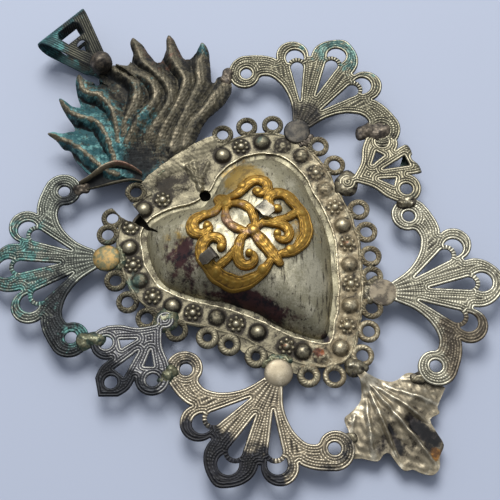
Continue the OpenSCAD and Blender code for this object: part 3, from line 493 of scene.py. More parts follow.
def smooth_path(points, steps=4):
    """Smooth curve through points, with a few steps between two of them."""
    pts = np.asarray(points, float)
    out = []
    for i in range(len(pts) - 1):
        p, q, r, s = pts[max(i - 1, 0)], pts[i], pts[i + 1], pts[min(i + 2, len(pts) - 1)]
        for t in np.arange(steps) / steps:
            out.append(0.5 * (2 * q + (r - p) * t + (2 * p - 5 * q + 4 * r - s) * t**2
                              + (3 * q - p - 3 * r + s) * t**3))
    return np.array(out + [pts[-1]])


def path_station(p, path):
    """Length along a path at its point nearest to p, the distance, and if p is on its left."""
    best, station, left = even(p, 1e9), even(p), even(p, False)
    run = 0.0
    for start, end in zip(path[:-1], path[1:]):
        edge, to = end - start, p - start
        length = np.linalg.norm(edge)
        t = np.clip((to @ edge) / length**2, 0, 1)
        far = ((to - t[..., None] * edge) ** 2).sum(-1)
        station = np.where(far < best, run + t * length, station)
        left = np.where(far < best, edge[0] * to[..., 1] > edge[1] * to[..., 0], left)
        best = np.minimum(best, far)
        run += length
    return station, np.sqrt(best), left


def dome_bump(p, centre, r, h):
    """Height of a round cap of radius r and height h."""
    d = np.linalg.norm(p - centre, axis=-1)
    ball = (r * r + h * h) / (2 * h)
    return np.where(d < r, np.sqrt(np.maximum(ball**2 - d**2, 0)) - (ball - h), 0)


def heart_border():
    p = grid((-31, -36), (31, 29), CELL)
    away = outline_distance(p, polar(np.arange(0, 360, 2.0), window_r(np.arange(0, 360, 2.0))))
    # The hand-cut window edge wanders a little
    away = away + 0.12 * ripple(p, 5, 31)
    apron = outline_distance(p, APRON)
    solid = np.minimum(away - BAND_W - 0.12 * ripple(p, 4, 12), apron)
    z = 0.05 * ripple(p, 3.2, 14) + 0.04 * ripple(p, 1.3, 15)
    z = z + 0.16 * bell(away - 0.15, 0.3)
    rim = 0.3 * bell(away - BAND_W + 0.35, 0.3)
    z = z + np.where(apron > -0.9, rim, 0.1 * rim) - 0.12 * bell(away - 4.2, 0.5)
    # Across the cleft the sheet rises to the crown and is creased below the nail hole
    z = z + np.where(apron < 0, 0.7 * ease(22.5, 26.4, p[..., 1]), 0)
    z = z - 0.45 * spot(p, (-5, 23.4), 4.5) * (0.7 + 0.3 * ripple(p, 1.6, 17))
    for fold, h in CREASES:
        far = path_station(p, smooth_path(fold))[1] + 0.15 * ripple(p, 1.4, 18)
        z = z + h * bell(far, 0.55) * ease(-1, 0.5, away)
    crest = 0.42 + 0.5 * np.minimum(z, 0.35) + 0.5 * ease(0.3, 0.08, away)
    crest = crest - 0.08 * ease(18, 22, p[..., 1]) * ease(12, 8, np.abs(p[..., 0]))
    crest = crest - 0.3 * spot(p, (-5, 23.6), 4) - 0.15 * spot(p, (2, 21), 3)
    twist = even(p)
    ring_edge = even(p, FAR)
    holes = even(p, FAR)
    for a in LOOPS:
        centre = grown_point(a, LOOP_REACH)
        to = p - centre
        d = np.linalg.norm(to, axis=-1)
        bearing = bearing_of(to)
        hole_r = LOOP_HOLE_R * (0.7 if 200 < a < 256 else 1)
        mid, half = (LOOP_R + hole_r) / 2, (LOOP_R - hole_r) / 2
        flat = 0.35 if 190 < a < 290 else 1.0
        across = np.clip(np.abs(d - mid) / half, 0, 1)
        on = (d < LOOP_R) & (away > BAND_W - 0.5)
        rope = np.sqrt(1 - across**2) * 0.42
        ply = np.cos(np.radians(bearing) * 17 + 4.5 * (d - mid) / half)
        rope = rope + 0.2 * flat * ply * (1 - across)
        twist = np.where(on, np.maximum(twist, rope), twist)
        ring_edge = np.minimum(ring_edge, d - LOOP_R)
        holes = np.minimum(holes, d - hole_r)
    z = np.where(ring_edge < 0, np.maximum(z, twist), z)
    crest = np.where((ring_edge < 0) & (twist > 0.05), 1.5 * twist - 0.1, crest)
    flood = even(p)
    boss_shade = even(p)
    for a in BOSSES + ROSETTES:
        centre = grown_point(a, BOSS_REACH)
        wet = FLOODED.get(a, 0)
        near = np.linalg.norm(p - centre, axis=-1)
        if a in BOSSES:
            h = BOSS_H * (1 - 0.35 * wet)
            bump = dome_bump(p, centre, BOSS_R, h)
            ridge = 0.05 + 0.8 * (bump / BOSS_H) ** 2
            # Painted shade: the bosses on the lower left are darkened
            if 170 < a < 262:
                boss_shade = np.maximum(boss_shade, 0.4 * (near < BOSS_R + 0.2))
        else:
            h = BEAD_R * (1 - 0.6 * wet)
            bump = dome_bump(p, centre, BEAD_R, h)
            for g in range(GRAINS):
                turn = 2 * np.pi * g / GRAINS
                grain, grain_h = centre + ROSETTE_RING * ray(turn), GRAIN_R * (1.1 - 0.8 * wet)
                bump = np.maximum(bump, dome_bump(p, grain, GRAIN_R * 1.15, grain_h))
            ridge = 0.12 + 1.1 * bump / BEAD_R
            z = z - 0.1 * (near < BOSS_R) * (1 - wet)
        z = np.maximum(z, bump + 0.05)
        reach = BOSS_R if a in BOSSES else BOSS_R + 0.1
        crest = np.where((bump > 0.02) | (near < reach), ridge, crest)
        # Dark ring round each boss's foot: dirt in the crease, with painted shade
        crest = crest - 0.45 * bell(near - BOSS_R - 0.05, 0.3) * (1 - wet)
        if wet:
            flood = np.maximum(flood, wet * spot(p, centre, 3.2))
            z = np.maximum(z, wet * 0.75 * spot(p, centre, 2.9))
    z = z + 0.12 * flood * ripple(p, 1.1, 23)
    solid = np.minimum(solid, ring_edge)
    # Solder has closed the gaps between the loops on the left of the heart's point
    left_side = np.abs(bearing_of(p - HEART_MID) % 360 - 228) - 27
    filled = away - BAND_W - 2.3 - 0.4 * ripple(p, 3, 24)
    solid = np.minimum(solid, np.maximum(filled, 0.2 * left_side))
    solid = np.maximum(solid, -holes)
    solid = np.maximum(solid, -away)
    solid = np.maximum(solid, -round_distance(p, polar(NAIL_ANGLE, window_r(NAIL_ANGLE)), NAIL_R))
    solid = np.maximum(solid, -outline_distance(p, SPLIT))
    rust = 0.9 * spot(p, (-3.1, -26.5), 2) + 0.6 * spot(p, (16.4, -11.3), 1.5)
    rust = rust + 0.5 * spot(p, (-8, -21), 1.8)
    green = 0.55 * spot(p, (-23.4, 8.3), 4) + 0.5 * spot(p, (17.5, 18.9), 3)
    green = green + 0.45 * spot(p, (-23, 19), 4) + 0.35 * spot(p, (-27, 9), 5)
    dark = 0.5 * spot(p, (-7.5, 24), 5) + 0.55 * spot(p, (-26, 2), 6) + 0.5 * spot(p, (12, 27), 4)
    dark = dark + 0.5 * spot(p, (20, 25), 6) + 0.4 * spot(p, (-14, -17), 8) * (away > 4.6)
    dark = dark + boss_shade
    # Paler towards the right of the view
    pale = 0.6 * ease(2, 18, 0.79 * p[..., 0] - 0.61 * p[..., 1])
    xy, masks, tris, rim = cut_sheet(p, solid, z=TOP_Z + z, crest=crest, pale=pale, rust=rust,
                                     green=green, dark=dark)
    top, low = raised(xy, masks.pop("z")), raised(xy, np.full(len(xy), BORDER_Z))
    # Silver plate, bright on the beads and dark between them, with painted shade on the lower-left
    # bosses, drops of rust and verdigris, and paler towards the right of the view
    material = patina("stamped_silvered_brass", "#C6BDA3", "#857E68", "#332D24", [
        ("pale", "#C9BD9F", "#8A7D64", 0.9, 1.2, 0.6),
        ("rust", "#8A4A1E", "#4E2812", 0.7, 1.0, 0.2),
        ("green", "#7E8F7C", "#3E524A", 0.8, 1.4, 0.3),
        ("dark", "#3A362E", "#161514", 0.9, 2.0, 0.4),
    ], metal=0.75, rough=0.5, grain=0.7, pits=0.55)
    sheet_mesh("heart_border", "beaded", top, low, tris, rim, masks, material, "silvered_sheet", 70)


heart_border()

# Large fans: four like stampings of silvered sheet. Each strap carries rows of fine
# beads that run in to a foot disc, which is soldered on the border's loops.
FOOT_R, FAN_LEN, EYE_R = 2.9, 25.6, 1.25
TIP_R = 3.7
SIDE_TIP, SCROLL_EYE = (9, 16.4), np.array([16.6, 8.2])
PETAL_HALF = [(0.9, 1.5), (1.7, 6), (3, 11), (4.6, 16), (5.3, 18.6), (5.3, 20.6), (4.4, 22.6), (2.6, 24.4)]
SIDE_OUTER = [(0.9, 2.2), (4.9, 6.9), (9.6, 11.4), (12.3, 14.7)]
SIDE_INNER = [(4.9, 18.2), (3.2, 14), (1, 8.2), (0.2, 2.4)]
ARM_OUTER = [(0.6, 2.6), (4.4, 8.6), (8.4, 12.6), (11.6, 14.1), (14.4, 13.9), (17, 12.9), (18.9, 11.9)]
ARM_INNER = [(13.4, 8.6), (12.9, 9.3), (10.9, 9.8), (7.6, 8.7), (4.3, 5.9), (2, 2)]
ROW_PITCH, BEAD_PITCH = 0.56, 0.55
# Drops: point, centre of the round end and its radius; crescents: centre, radius and cut
MID_DROP, SIDE_DROP = ((0, 9.8), (0, 17.9), 1.4), ((2.6, 7.2), (6.8, 14.2), 1.4)
MID_MOON, SIDE_MOON = ((0, 20.7), 2.1, (0, 2.8)), ((8.3, 16.2), 2.0, (1.43, 1.9))
# Foot's angle about the heart's middle, reach past the window, and the fan's direction
FANS = {"fan_upper_right": (35.7, 7, 26), "fan_lower_right": (304.4, 9.1, -31.5),
        "fan_lower_left": (242, 8.4, 204), "fan_upper_left": (144, 7.6, 149)}


def drop_distance(p, point, centre, r):
    """Drop-shaped hole from its point to the centre of its round end."""
    point, centre = np.array(point, float), np.array(centre, float)
    along = centre - point
    across = np.array([-along[1], along[0]]) / np.linalg.norm(along) * r
    return np.minimum(outline_distance(p, [point, centre + across, centre - across]),
                      round_distance(p, centre, r))


def crescent_distance(p, centre, r, back):
    """Signed distance to a crescent: a circle less one moved back, negative inside."""
    centre = np.array(centre, float)
    return np.maximum(round_distance(p, centre, r), -round_distance(p, centre - back, r + 0.2))


def both_sides(p, shape):
    """The nearer of a shape and its mirror image; the shape lies at positive x."""
    q = p.copy()
    q[..., 0] = np.abs(q[..., 0])
    return shape(q)


def edge_depth(p, distance, cell):
    """Distance to the nearest edge of the cut sheet, spread from the cells on the edge."""
    gy, gx = np.gradient(distance, cell)
    steep = np.maximum(gx**2 + gy**2, 0.25)
    on_edge = np.abs(distance) < 0.9 * cell
    at_edge = p - (distance / steep)[..., None] * np.stack([gx, gy], -1)
    seed = np.where(on_edge[..., None], at_edge, 1e4)
    best = ((seed - p) ** 2).sum(-1)
    jump = 2 ** int(math.log2(4 / cell))
    while jump >= 1:
        for dy in (-jump, 0, jump):
            for dx in (-jump, 0, jump):
                other = np.roll(seed, (dy, dx), (0, 1))
                far = ((other - p) ** 2).sum(-1)
                closer = far < best
                seed = np.where(closer[..., None], other, seed)
                best = np.where(closer, far, best)
        jump //= 2
    return np.sqrt(best)


def beaded_rows(depth, along, share):
    """Rows of beads parallel to an edge: height between 0 and 1."""
    row = np.floor(depth / ROW_PITCH)
    ridge = 0.5 - 0.5 * np.cos(2 * np.pi * depth / ROW_PITCH)
    bead = 0.5 + 0.5 * np.cos(2 * np.pi * along / BEAD_PITCH + np.pi * row)
    # The outermost row is a plain rim
    share = np.where(row < 1, 0, share)
    return ridge * (1 - share + share * bead)


def bridge_ribs(p, rows, drop, width):
    """Cross ribs on the bridge round the end of a drop-shaped hole."""
    point, centre, r = (np.array(v, float) for v in drop)
    axis = (centre - point) / np.linalg.norm(centre - point)
    to = p - centre
    d = np.linalg.norm(to, axis=-1)
    bearing = np.arctan2(to @ np.array([axis[1], -axis[0]]), to @ axis)
    on = (d > r) & (d < r + width) & (np.abs(bearing) < 1.25)
    return np.where(on, 0.5 + 0.5 * np.cos(bearing * 18), rows)


def scroll_outline():
    """Outer edge of the large fan's scroll, which widens away from its end."""
    turn = np.radians(np.arange(50, -171, -10))
    r = 3.3 + 1.1 * (np.degrees(turn) + 170) / 230
    return SCROLL_EYE + r[:, None] * ray(turn)


def fan_template():
    """The large fan in its own plane, with its depth from the edge, row height and foot share."""
    p = grid((-22, -4), (22, 27), CELL)
    petal = outline_distance(p, smooth_path(PETAL_HALF + [(0, FAN_LEN)]
                                            + [(-x, y) for x, y in PETAL_HALF[::-1]]))
    side = np.concatenate([smooth_path(SIDE_OUTER), [SIDE_TIP], smooth_path(SIDE_INNER)])
    arm = np.concatenate([smooth_path(ARM_OUTER), scroll_outline(), smooth_path(ARM_INNER)])

    def plate(q):
        scroll = np.maximum(outline_distance(q, arm), -round_distance(q, SCROLL_EYE, EYE_R))
        tip = round_distance(q, SIDE_TIP, TIP_R)
        return np.minimum(np.minimum(outline_distance(q, side), tip), scroll)

    def cuts(q):
        return np.minimum(drop_distance(q, *SIDE_DROP), crescent_distance(q, *SIDE_MOON))

    solid = np.minimum(np.minimum(petal, both_sides(p, plate)), round_distance(p, (0, 0), FOOT_R))
    holes = np.minimum(drop_distance(p, *MID_DROP), crescent_distance(p, *MID_MOON))
    solid = np.maximum(solid, -np.minimum(holes, both_sides(p, cuts)))
    depth = edge_depth(p, solid, CELL)
    r = np.linalg.norm(p, axis=-1)
    curl = np.radians(np.arange(100, -180, -15))
    centre_line = np.concatenate([smooth_path([(0.5, 1), (3.8, 7), (8, 10.8), (12.6, 12)]),
                                  SCROLL_EYE + 2.8 * ray(curl)])
    q = np.stack([np.abs(p[..., 0]), p[..., 1]], -1)
    station, near, _ = path_station(q, centre_line)
    on_arm = near < 2.6
    along = np.where(on_arm & (outline_distance(q, arm) < 0), station, r)
    rows = beaded_rows(depth, along, 0.6)
    for drop in (MID_DROP, SIDE_DROP):
        rows = bridge_ribs(q, rows, drop, 0.95)
    # Near the foot the rows run straight in to the disc, as they do in the middle of wide straps
    bearing = np.arctan2(p[..., 0], p[..., 1] + 1.5)
    beads = 0.6 + 0.4 * np.cos(2 * np.pi * r / BEAD_PITCH)
    core = ease(1.25, 1.6, depth) * ease(18, 15, r)
    rows = rows * (1 - core) + core * (0.5 + 0.5 * np.cos(bearing * 110)) * beads
    spokes = 0.5 + 0.5 * np.cos(bearing * 46)
    root = ease(8.5, 5.0, r) * ease(0.5, 0.9, depth)
    rows = rows * (1 - root) + root * spokes * beads
    foot = ease(FOOT_R + 0.15, FOOT_R - 0.15, r)
    return cut_sheet(p, solid, depth=depth, rows=rows, foot=foot)


def place_local(x, y, foot, direction):
    """A piece's own x and y on the heart, with its y along a direction."""
    turn = math.radians(direction - 90)
    return np.stack([foot[0] + x * math.cos(turn) - y * math.sin(turn),
                     foot[1] + x * math.sin(turn) + y * math.cos(turn)], -1)


FAN_XY, FAN_LEVELS, FAN_TRIS, FAN_RIM = fan_template()


def fan_point(fan, x, y):
    """Place on the heart of a point on a fan."""
    angle, reach, direction = FANS[fan]
    return place_local(np.array(x, float), np.array(y, float), grown_point(angle, reach), direction)


def large_fan(name, bend, stain, material, slot_name, disc_h=0.25):
    """One of the four fans: bend and stain are functions of its own x, y and place."""
    (x, y), (depth, rows, foot) = FAN_XY.T, FAN_LEVELS.values()
    xy = fan_point(name, x, y)
    swell = 0.2 * ease(0, 1.3, depth)
    z = (1 - foot) * (swell + 0.19 * rows) + foot * (0.12 + disc_h * np.sqrt(
        np.clip(1 - (x**2 + y**2) / FOOT_R**2, 0, 1)))
    z = z + 0.03 * ripple(xy, 2.5, 41) * (1 - foot)
    shift = bend(x, y)
    top = raised(xy, TOP_Z + SHEET * 0.75 + z + shift)
    low = raised(xy, TOP_Z + 0.12 * ease(0, 1.0, depth) * (1 - foot) + shift)
    crest = (1 - foot) * (0.06 + 0.9 * rows + 0.1 * ease(0, 0.3, depth)) + foot * 0.6
    masks = {"crest": crest, **stain(x, y, xy, depth)}
    sheet_mesh(name, "stamped", top, low, FAN_TRIS, FAN_RIM, masks, material, slot_name, 70)


def disc(x, y):
    """1 on the foot disc and 0 beyond it."""
    return ease(FOOT_R + 0.1, FOOT_R - 0.1, np.hypot(x, y))


# Silver plate gone grey brown, with teal verdigris over the outer petals where damp sat
large_fan("fan_upper_right",
          lambda x, y: 2.0 * ease(2, 20, y) - 0.5 * ease(21, 27, y),
          lambda x, y, p, depth: {
              "teal": 0.62 * ease(13, 22, y) * ease(13, 9, np.abs(x)) * ease(0.1, 0.5, depth),
              "dark": 0.75 * ease(11, 4, y) * ease(6, 2, np.abs(x)) + 0.9 * spot(p, (24.8, 15.8), 4)
              + 0.4 * ease(2, 10, x) * ease(12, 8, y) + 0.5 * disc(x, y)},
          patina("silvered_brass_verdigris", "#BCB79F", "#736F5C", "#1F1D18", [
              ("dark", "#4A453C", "#1B1A19", 0.8, 2.5, 0.5),
              ("teal", "#7FA59B", "#2F5453", 1.0, 1.6, 0.35)], grain=0.35),
          "verdigris_sheet")
# Pale grey silver, the cleanest of the four: its beads glint and only its foot is dull
large_fan("fan_lower_right",
          lambda x, y: 0.5 * ease(8, 24, y) - 0.3 * ease(8, 16, x),
          lambda x, y, p, depth: {
              "dark": 0.3 * ease(-8, -16, x) * ease(12, 6, y) + 0.75 * disc(x, y)
              + 0.95 * ease(4, 9, x) * ease(7, 13, y)},
          patina("pale_silvered_brass", "#DEDAC6", "#A09C88", "#34302A", [
              ("dark", "#857A66", "#453D32", 0.8, 2.2, 0.4)], grain=0.35),
          "silvered_sheet", disc_h=0.06)
# Silver blackened by oxidising, nearly without shine, but for the rubbed straps at its foot
large_fan("fan_lower_left",
          lambda x, y: 0.4 * ease(10, 24, y),
          lambda x, y, p, depth: {
              "dark": 1.0 * ease(10, 20, y) * ease(14, 9, np.abs(x)) + 0.4 * ease(16, 24, y)
              + 0.45 * ease(12, 17, np.abs(x)),
              "teal": 0.5 * spot(p, (-31.5, -12), 4)},
          patina("blackened_silvered_brass", "#E0D6BE", "#9B907A", "#2E2822", [
              ("dark", "#23242B", "#0A0A0E", 0.9, 3.0, 0.35),
              ("teal", "#7E9084", "#47584F", 0.9, 1.5, 0.3)], grain=0.35),
          "oxidised_sheet", disc_h=0.6)
# Dark silver under blue-green verdigris, brassy yellow on the solder-stained disc
large_fan("fan_upper_left",
          lambda x, y: 0.5 * ease(10, 24, y) - 1.6 * ease(19, 26, y),
          lambda x, y, p, depth: {
              "teal": 0.55 * ease(7, 17, y) * ease(13, 9, np.abs(x)) + 0.7 * spot(p, (-40, 6), 6),
              "dark": 0.75 * ease(2, 8, -x) * ease(16, 9, y) + 0.75 * spot(p, (-24, 33), 7)
              + 0.55 * spot(p, (-36, 20), 9) + 0.35 * ease(-4, -12, x),
              "ochre": 0.8 * disc(x, y)},
          patina("dark_silvered_brass_verdigris", "#ABADA0", "#6A6E64", "#1F2221", [
              ("dark", "#2E3234", "#101416", 0.9, 2.2, 0.45),
              ("teal", "#5F938C", "#254645", 1.0, 1.6, 0.35),
              ("ochre", "#9E8048", "#5E6044", 0.7, 1.2, 0.4)], grain=0.35),
          "verdigris_sheet", disc_h=0.5)

# Small fans: two like stampings with a pointed middle petal. Their side petals lie on the
# ends of the large fans' scrolls; the right one's middle petal is folded back under it.
SMALL_FOOT_R, SMALL_LEN, SMALL_HOLE_R = 1.8, 20.3, 1.3
SMALL_HALF = [(0.8, 1), (1.2, 5), (1.9, 8.6), (3, 12), (3.7, 15.4), (3, 17.9)]
SMALL_SIDE_OUTER = [(0.6, 1.6), (3.2, 4.6), (6.4, 6.4), (8.6, 8.4)]
SMALL_SIDE_INNER = [(4, 13.6), (2, 11), (0.8, 6), (0.2, 2)]
SMALL_TIP, SMALL_TIP_R, SMALL_FOLD, FOLD_R = (5.9, 10.9), 3.5, 15.2, 1.05
FANS["small_fan_right"] = (3.1, 7.6, -15.5)
FANS["small_fan_left"] = (180.7, 6.1, 194)


def mirror_x(points):
    return np.asarray(points, float) * [-1, 1]


def small_template():
    """The small fan in its own plane, with its depth from the edge and row height."""
    cell = CELL * 0.85
    p = grid((-11, -3), (11, 21.5), cell)
    half = smooth_path(SMALL_HALF)
    petal = outline_distance(p, np.concatenate([half, [(0, SMALL_LEN)], mirror_x(half)[::-1]]))
    side = np.concatenate([
        smooth_path(SMALL_SIDE_OUTER), [SMALL_TIP], smooth_path(SMALL_SIDE_INNER)])
    solid = np.minimum(petal, both_sides(p, lambda q: np.minimum(
        outline_distance(q, side), round_distance(q, SMALL_TIP, SMALL_TIP_R))))
    solid = np.minimum(solid, round_distance(p, (0, 0), SMALL_FOOT_R))
    holes = np.minimum(outline_distance(p, [(0, 8.4), (1.3, 14.2), (-1.3, 14.2)]),
                       round_distance(p, (0, 16.6), SMALL_HOLE_R))
    holes = np.minimum(holes, both_sides(p, lambda q: np.minimum(
        round_distance(q, (6.2, 11.1), SMALL_HOLE_R),
        outline_distance(q, [(1.9, 6.7), (4.5, 8.9), (3, 10)]))))
    solid = np.maximum(solid, -holes)
    depth = edge_depth(p, solid, cell)
    r = np.linalg.norm(p, axis=-1)
    rows = beaded_rows(depth, r, 0.4)
    return cut_sheet(p, solid, depth=depth, rows=rows)


SMALL_XY, SMALL_LEVELS, SMALL_TRIS, SMALL_RIM = small_template()


def small_fan(name, folded, stain, material, slot_name):
    """One of the two small fans; stain is a function of its own x, y and place."""
    (x, y), (depth, rows) = SMALL_XY.T, SMALL_LEVELS.values()
    z_top = SHEET * 0.75 + 0.14 * ease(0, 1, depth) + 0.12 * rows
    z_low = 0.06 * ease(0, 1, depth)

    def bent(z):
        if not folded:
            return raised(fan_point(name, x, y), PLATE_Z + z)
        # Past the fold line the sheet turns down round a small bend and runs back
        turn = np.clip((y - SMALL_FOLD) / (FOLD_R * 0.8), 0, np.pi)
        r = FOLD_R - SHEET + z
        rest = np.maximum(y - SMALL_FOLD - np.pi * FOLD_R * 0.8, 0)
        yy = np.where(y < SMALL_FOLD, y, SMALL_FOLD + r * np.sin(turn) - rest)
        zz = np.where(y < SMALL_FOLD, z, SHEET - FOLD_R + r * np.cos(turn))
        return raised(fan_point(name, x, yy), PLATE_Z + zz)

    top, low = bent(z_top), bent(z_low)
    masks = {"crest": 0.12 + 0.85 * rows, **stain(x, y, top)}
    sheet_mesh(name, "stamped", top, low, SMALL_TRIS, SMALL_RIM, masks, material, slot_name, 70)


# Olive brown tarnish on silver; the face that the fold turns up is green-black
small_fan("small_fan_right", True,
          lambda x, y, p: {"dark": 0.95 * ease(15, 17.5, y) + 0.5 * spot(p, (34, -12), 5),
                           "green": 0.9 * ease(15.4, 17.5, y)},
          patina("olive_tarnished_silvered_brass", "#C6BFA7", "#868069", "#2A2720", [
              ("dark", "#2A3029", "#141A17", 0.6, 2.0, 0.5),
              ("green", "#1E4A42", "#0E2522", 0.3, 2.0, 0.6)], grain=0.4),
          "silvered_sheet")
# Silver gone slate grey and blue-black towards the tip, with a spot of verdigris
small_fan("small_fan_left", False,
          lambda x, y, p: {"dark": 1.1 * ease(10, 15, y) + 0.5 * spot(p, (-31, -11), 5),
                           "green": 0.5 * spot(p, (-35.5, 1.5), 3)},
          patina("slate_tarnished_silvered_brass", "#A3A39B", "#65656A", "#1D1D20", [
              ("dark", "#22252B", "#0E1015", 0.7, 2.0, 0.55),
              ("green", "#6A8A7C", "#2F4A44", 0.8, 1.5, 0.3)], grain=0.4),
          "oxidised_sheet")

# Leaf: soft sheet, pressed over a die with veins and crumpled since. Its stem is
# soldered on the loops under the heart's point and its lobes reach under two scrolls.
LEAF_REACH, LEAF_DROP, LEAF_H = 9.8, 1.2, 1.3
LEAF_FOOT = np.array([0, grown_point(270, LEAF_REACH)[1]])
LEAF_VEINS, VEIN_W = (-52, -33, -17, 0, 16, 31, 50), 0.5
LEAF_EDGE = [
    (1.7, 3.4), (1.6, 0.4), (2.4, -1), (4.3, -3.7), (6, -4.5), (8.1, -4.5), (9.4, -5.4), (9.8, -7),
    (12.3, -11), (11.7, -11.9), (8.6, -13.5), (8.1, -14.7), (5.8, -14.5), (5.1, -17.2), (4.6, -19.9),
    (2.5, -21.1), (0.9, -22.8), (-1, -23), (-2.5, -21.4), (-3.3, -19.9), (-4.8, -19), (-5, -16.9),
    (-4.9, -14.7), (-6, -14.2), (-7.7, -14.5), (-9.8, -12.2), (-11.1, -10.8), (-8.6, -7.1),
    (-8, -5.2), (-7.3, -4), (-5.4, -3.9), (-2.3, -3.1), (-0.1, 0.2), (-0.1, 3.4),
]


def leaf():
    p = grid((-12.5, -24.5), (13.5, 4.5), CELL)
    solid = outline_distance(p, smooth_path(LEAF_EDGE + LEAF_EDGE[:1], 3)[:-1])
    depth = np.maximum(-solid, 0)
    to = p - np.array([0.8, 0.2])
    r = np.linalg.norm(to, axis=-1)
    bearing = np.degrees(np.arctan2(to[..., 0], -to[..., 1]))
    veins = even(p)
    for at in LEAF_VEINS:
        veins = np.maximum(veins, bell((bearing - at) * np.radians(1) * np.maximum(r, 1), VEIN_W))
    swell = ease(0, 6, depth)
    z = LEAF_H * 0.75 * swell + 0.55 * veins * ease(0, 2.5, depth)
    z = z + 0.28 * swell * ripple(p, 5, 51) + 0.12 * ripple(p, 1.8, 52) * ease(0, 1, depth)
    hollow = 0.8 * bell(bearing - 8, 9) * ease(9, 14, r) * ease(24, 18, r)
    hollow = hollow + 0.8 * bell(bearing + 14, 7) * ease(8, 12, r) * ease(20, 15, r)
    z = z - hollow * (1 - veins)
    z = np.maximum(z, 0)
    stem = ease(-3.2, 0.2, p[..., 1]) * ease(2.6, 0.9, np.abs(p[..., 0] - 0.8))
    z = z * (1 - stem) + stem * (LEAF_DROP + 0.1)
    crest = 0.5 + 0.35 * veins + 0.18 * ripple(p, 2.2, 53) - 0.4 * hollow
    dark = 1.0 * hollow * (1 - veins) + 0.55 * spot(p, (-6, -12.6), 4)
    dark = dark + 0.3 * spot(p, (9.5, -11.5), 3)
    ochre = 1.0 * spot(p, (2.2, -20.2), 2.2) + 0.5 * spot(p, (-8.3, -6), 1.6)
    xy, masks, tris, rim = cut_sheet(p, solid, z=z, crest=crest, dark=dark, ochre=ochre)
    base, z = TOP_Z - LEAF_DROP, masks.pop("z")
    top, low = raised(xy + LEAF_FOOT, base + SHEET + z), raised(xy + LEAF_FOOT, base + z)
    # Soft silver plate that glints on its crumples, with black hollows and a rusty tip
    material = patina("crumpled_silvered_brass", "#D8CFB8", "#928873", "#2F2921", [
        ("dark", "#3B3534", "#141417", 0.7, 2.0, 0.4),
        ("ochre", "#9A6A2A", "#5A3A18", 0.8, 1.2, 0.3),
    ], rough=0.5)
    sheet_mesh("leaf", "pressed", top, low, tris, rim, masks, material, "silvered_sheet", 70)


leaf()

# Flame crown: one heavy stamping whose tongues run in S-shaped ridges from hooked tips to
# a hollow above the heart. Two strap arms reach from it to the upper fans.
CROWN_EDGE = [
    (-14.5, 31.2), (-17.2, 35.2), (-17.6, 37.4), (-17.7, 40), (-17.4, 42.1), (-18.2, 43.6), (-18.6, 46),
    (-19.2, 48), (-17.9, 47.6), (-16.8, 46.7), (-15.5, 46.3), (-13.9, 45.8), (-13.3, 47), (-13.2, 49.6),
    (-13, 52.2), (-12.3, 53.9), (-11.6, 52.8), (-11, 51), (-9.5, 49.9), (-8.8, 51.8), (-7.7, 54.2),
    (-6.6, 55.8), (-5.3, 56.6), (-5.1, 55.2), (-4.3, 53.8), (-3, 52.4), (-1.6, 54.2), (-0.2, 56.2),
    (0.9, 56.6), (1.7, 54.8), (2.9, 53.9), (3.7, 52.6), (5, 52), (6.8, 53.2), (7.8, 54.3), (8.5, 56.2),
    (9.9, 57.3), (10.4, 55.8), (10.6, 54.4), (10.6, 52.7), (10.6, 50.8), (10.8, 49.5), (11.5, 48.8),
    (12.5, 49.2), (14.3, 50.3), (15.7, 52.2), (16.8, 52.9), (17.1, 51.6), (16.8, 49.9), (16.4, 47.7),
    (16.4, 46.3), (17.3, 45.4), (19.6, 45.7), (21.1, 46.5), (21.8, 46.6), (22, 45.2), (21.5, 43.7),
    (20.3, 41.8), (19, 39.7), (17.7, 37.6), (18.4, 37.2), (19.6, 37.8), (20.8, 37), (21.2, 35.4),
    (20, 33.2), (17.3, 31.6), (14.7, 31), (12, 30.6), (10, 30), (8.4, 29.2), (6.7, 28.2), (4.6, 27),
    (0.4, 27.2), (-3.5, 27.1), (-7.6, 26.8), (-9.4, 26.6), (-11.6, 28.6),
]
# Ridge lines from tip to foot, with the height of each
CREST_LINES = [
    (1.9, [(-19, 47.6), (-17.3, 44.8), (-16.2, 42.5), (-15.4, 39.5), (-15, 36.6), (-14.2, 33.4), (-12.6, 30.8)]),
    (2.2, [(-12.3, 53.2), (-12.4, 50.4), (-11.8, 48), (-10.2, 45.9), (-9, 43.7), (-9.1, 41.4), (-9.5, 39.1),
           (-10.4, 36.2), (-11.4, 33.6)]),
    (2.3, [(-5.5, 56), (-6.7, 53.4), (-6.3, 51.2), (-4.9, 49.2), (-4.5, 47), (-4.7, 44.4), (-5.5, 42.2),
           (-6.6, 39.8), (-8, 37.4)]),
    (2.0, [(0.6, 56.4), (1.6, 53.4), (2.6, 50.4), (3.1, 47.1), (1.9, 44.8), (0, 43), (-2, 41.8), (-3.9, 40.5),
           (-6, 38.2)]),
    (2.5, [(3.4, 52.6), (4.6, 49.5), (5.9, 46.4), (5.8, 43.2), (4.4, 40.9), (1.7, 39.8), (-1.1, 39.2),
           (-4, 37.7), (-6.6, 36.2)]),
    (2.5, [(9.6, 56.8), (8.6, 53), (7.9, 50.6), (8.2, 48.1), (8.6, 45.1), (8.6, 42.2), (7.7, 39.9), (5.9, 38.1),
           (3.1, 36.9), (0.4, 35.8), (-2.3, 34.7)]),
    (2.4, [(16.6, 52.5), (14.6, 49.4), (13.7, 47.1), (13.3, 44.6), (13, 42), (12.1, 40.3), (9.7, 38.3),
           (7.1, 36.6), (4.2, 35.2), (1.3, 33.8), (-1.4, 31.8)]),
    (2.1, [(21.5, 46.2), (19.8, 44), (17.9, 43), (16.4, 40.9), (15, 38.6), (12.7, 37.2), (10.3, 35.8),
           (7.6, 34.1), (4.9, 32.5), (2.4, 31), (0.4, 29.4)]),
    (1.5, [(20, 35.9), (16.7, 34.5), (12.5, 32.8), (8.8, 31.8), (6.3, 30.8), (4.3, 29.5), (3, 28.2)]),
]
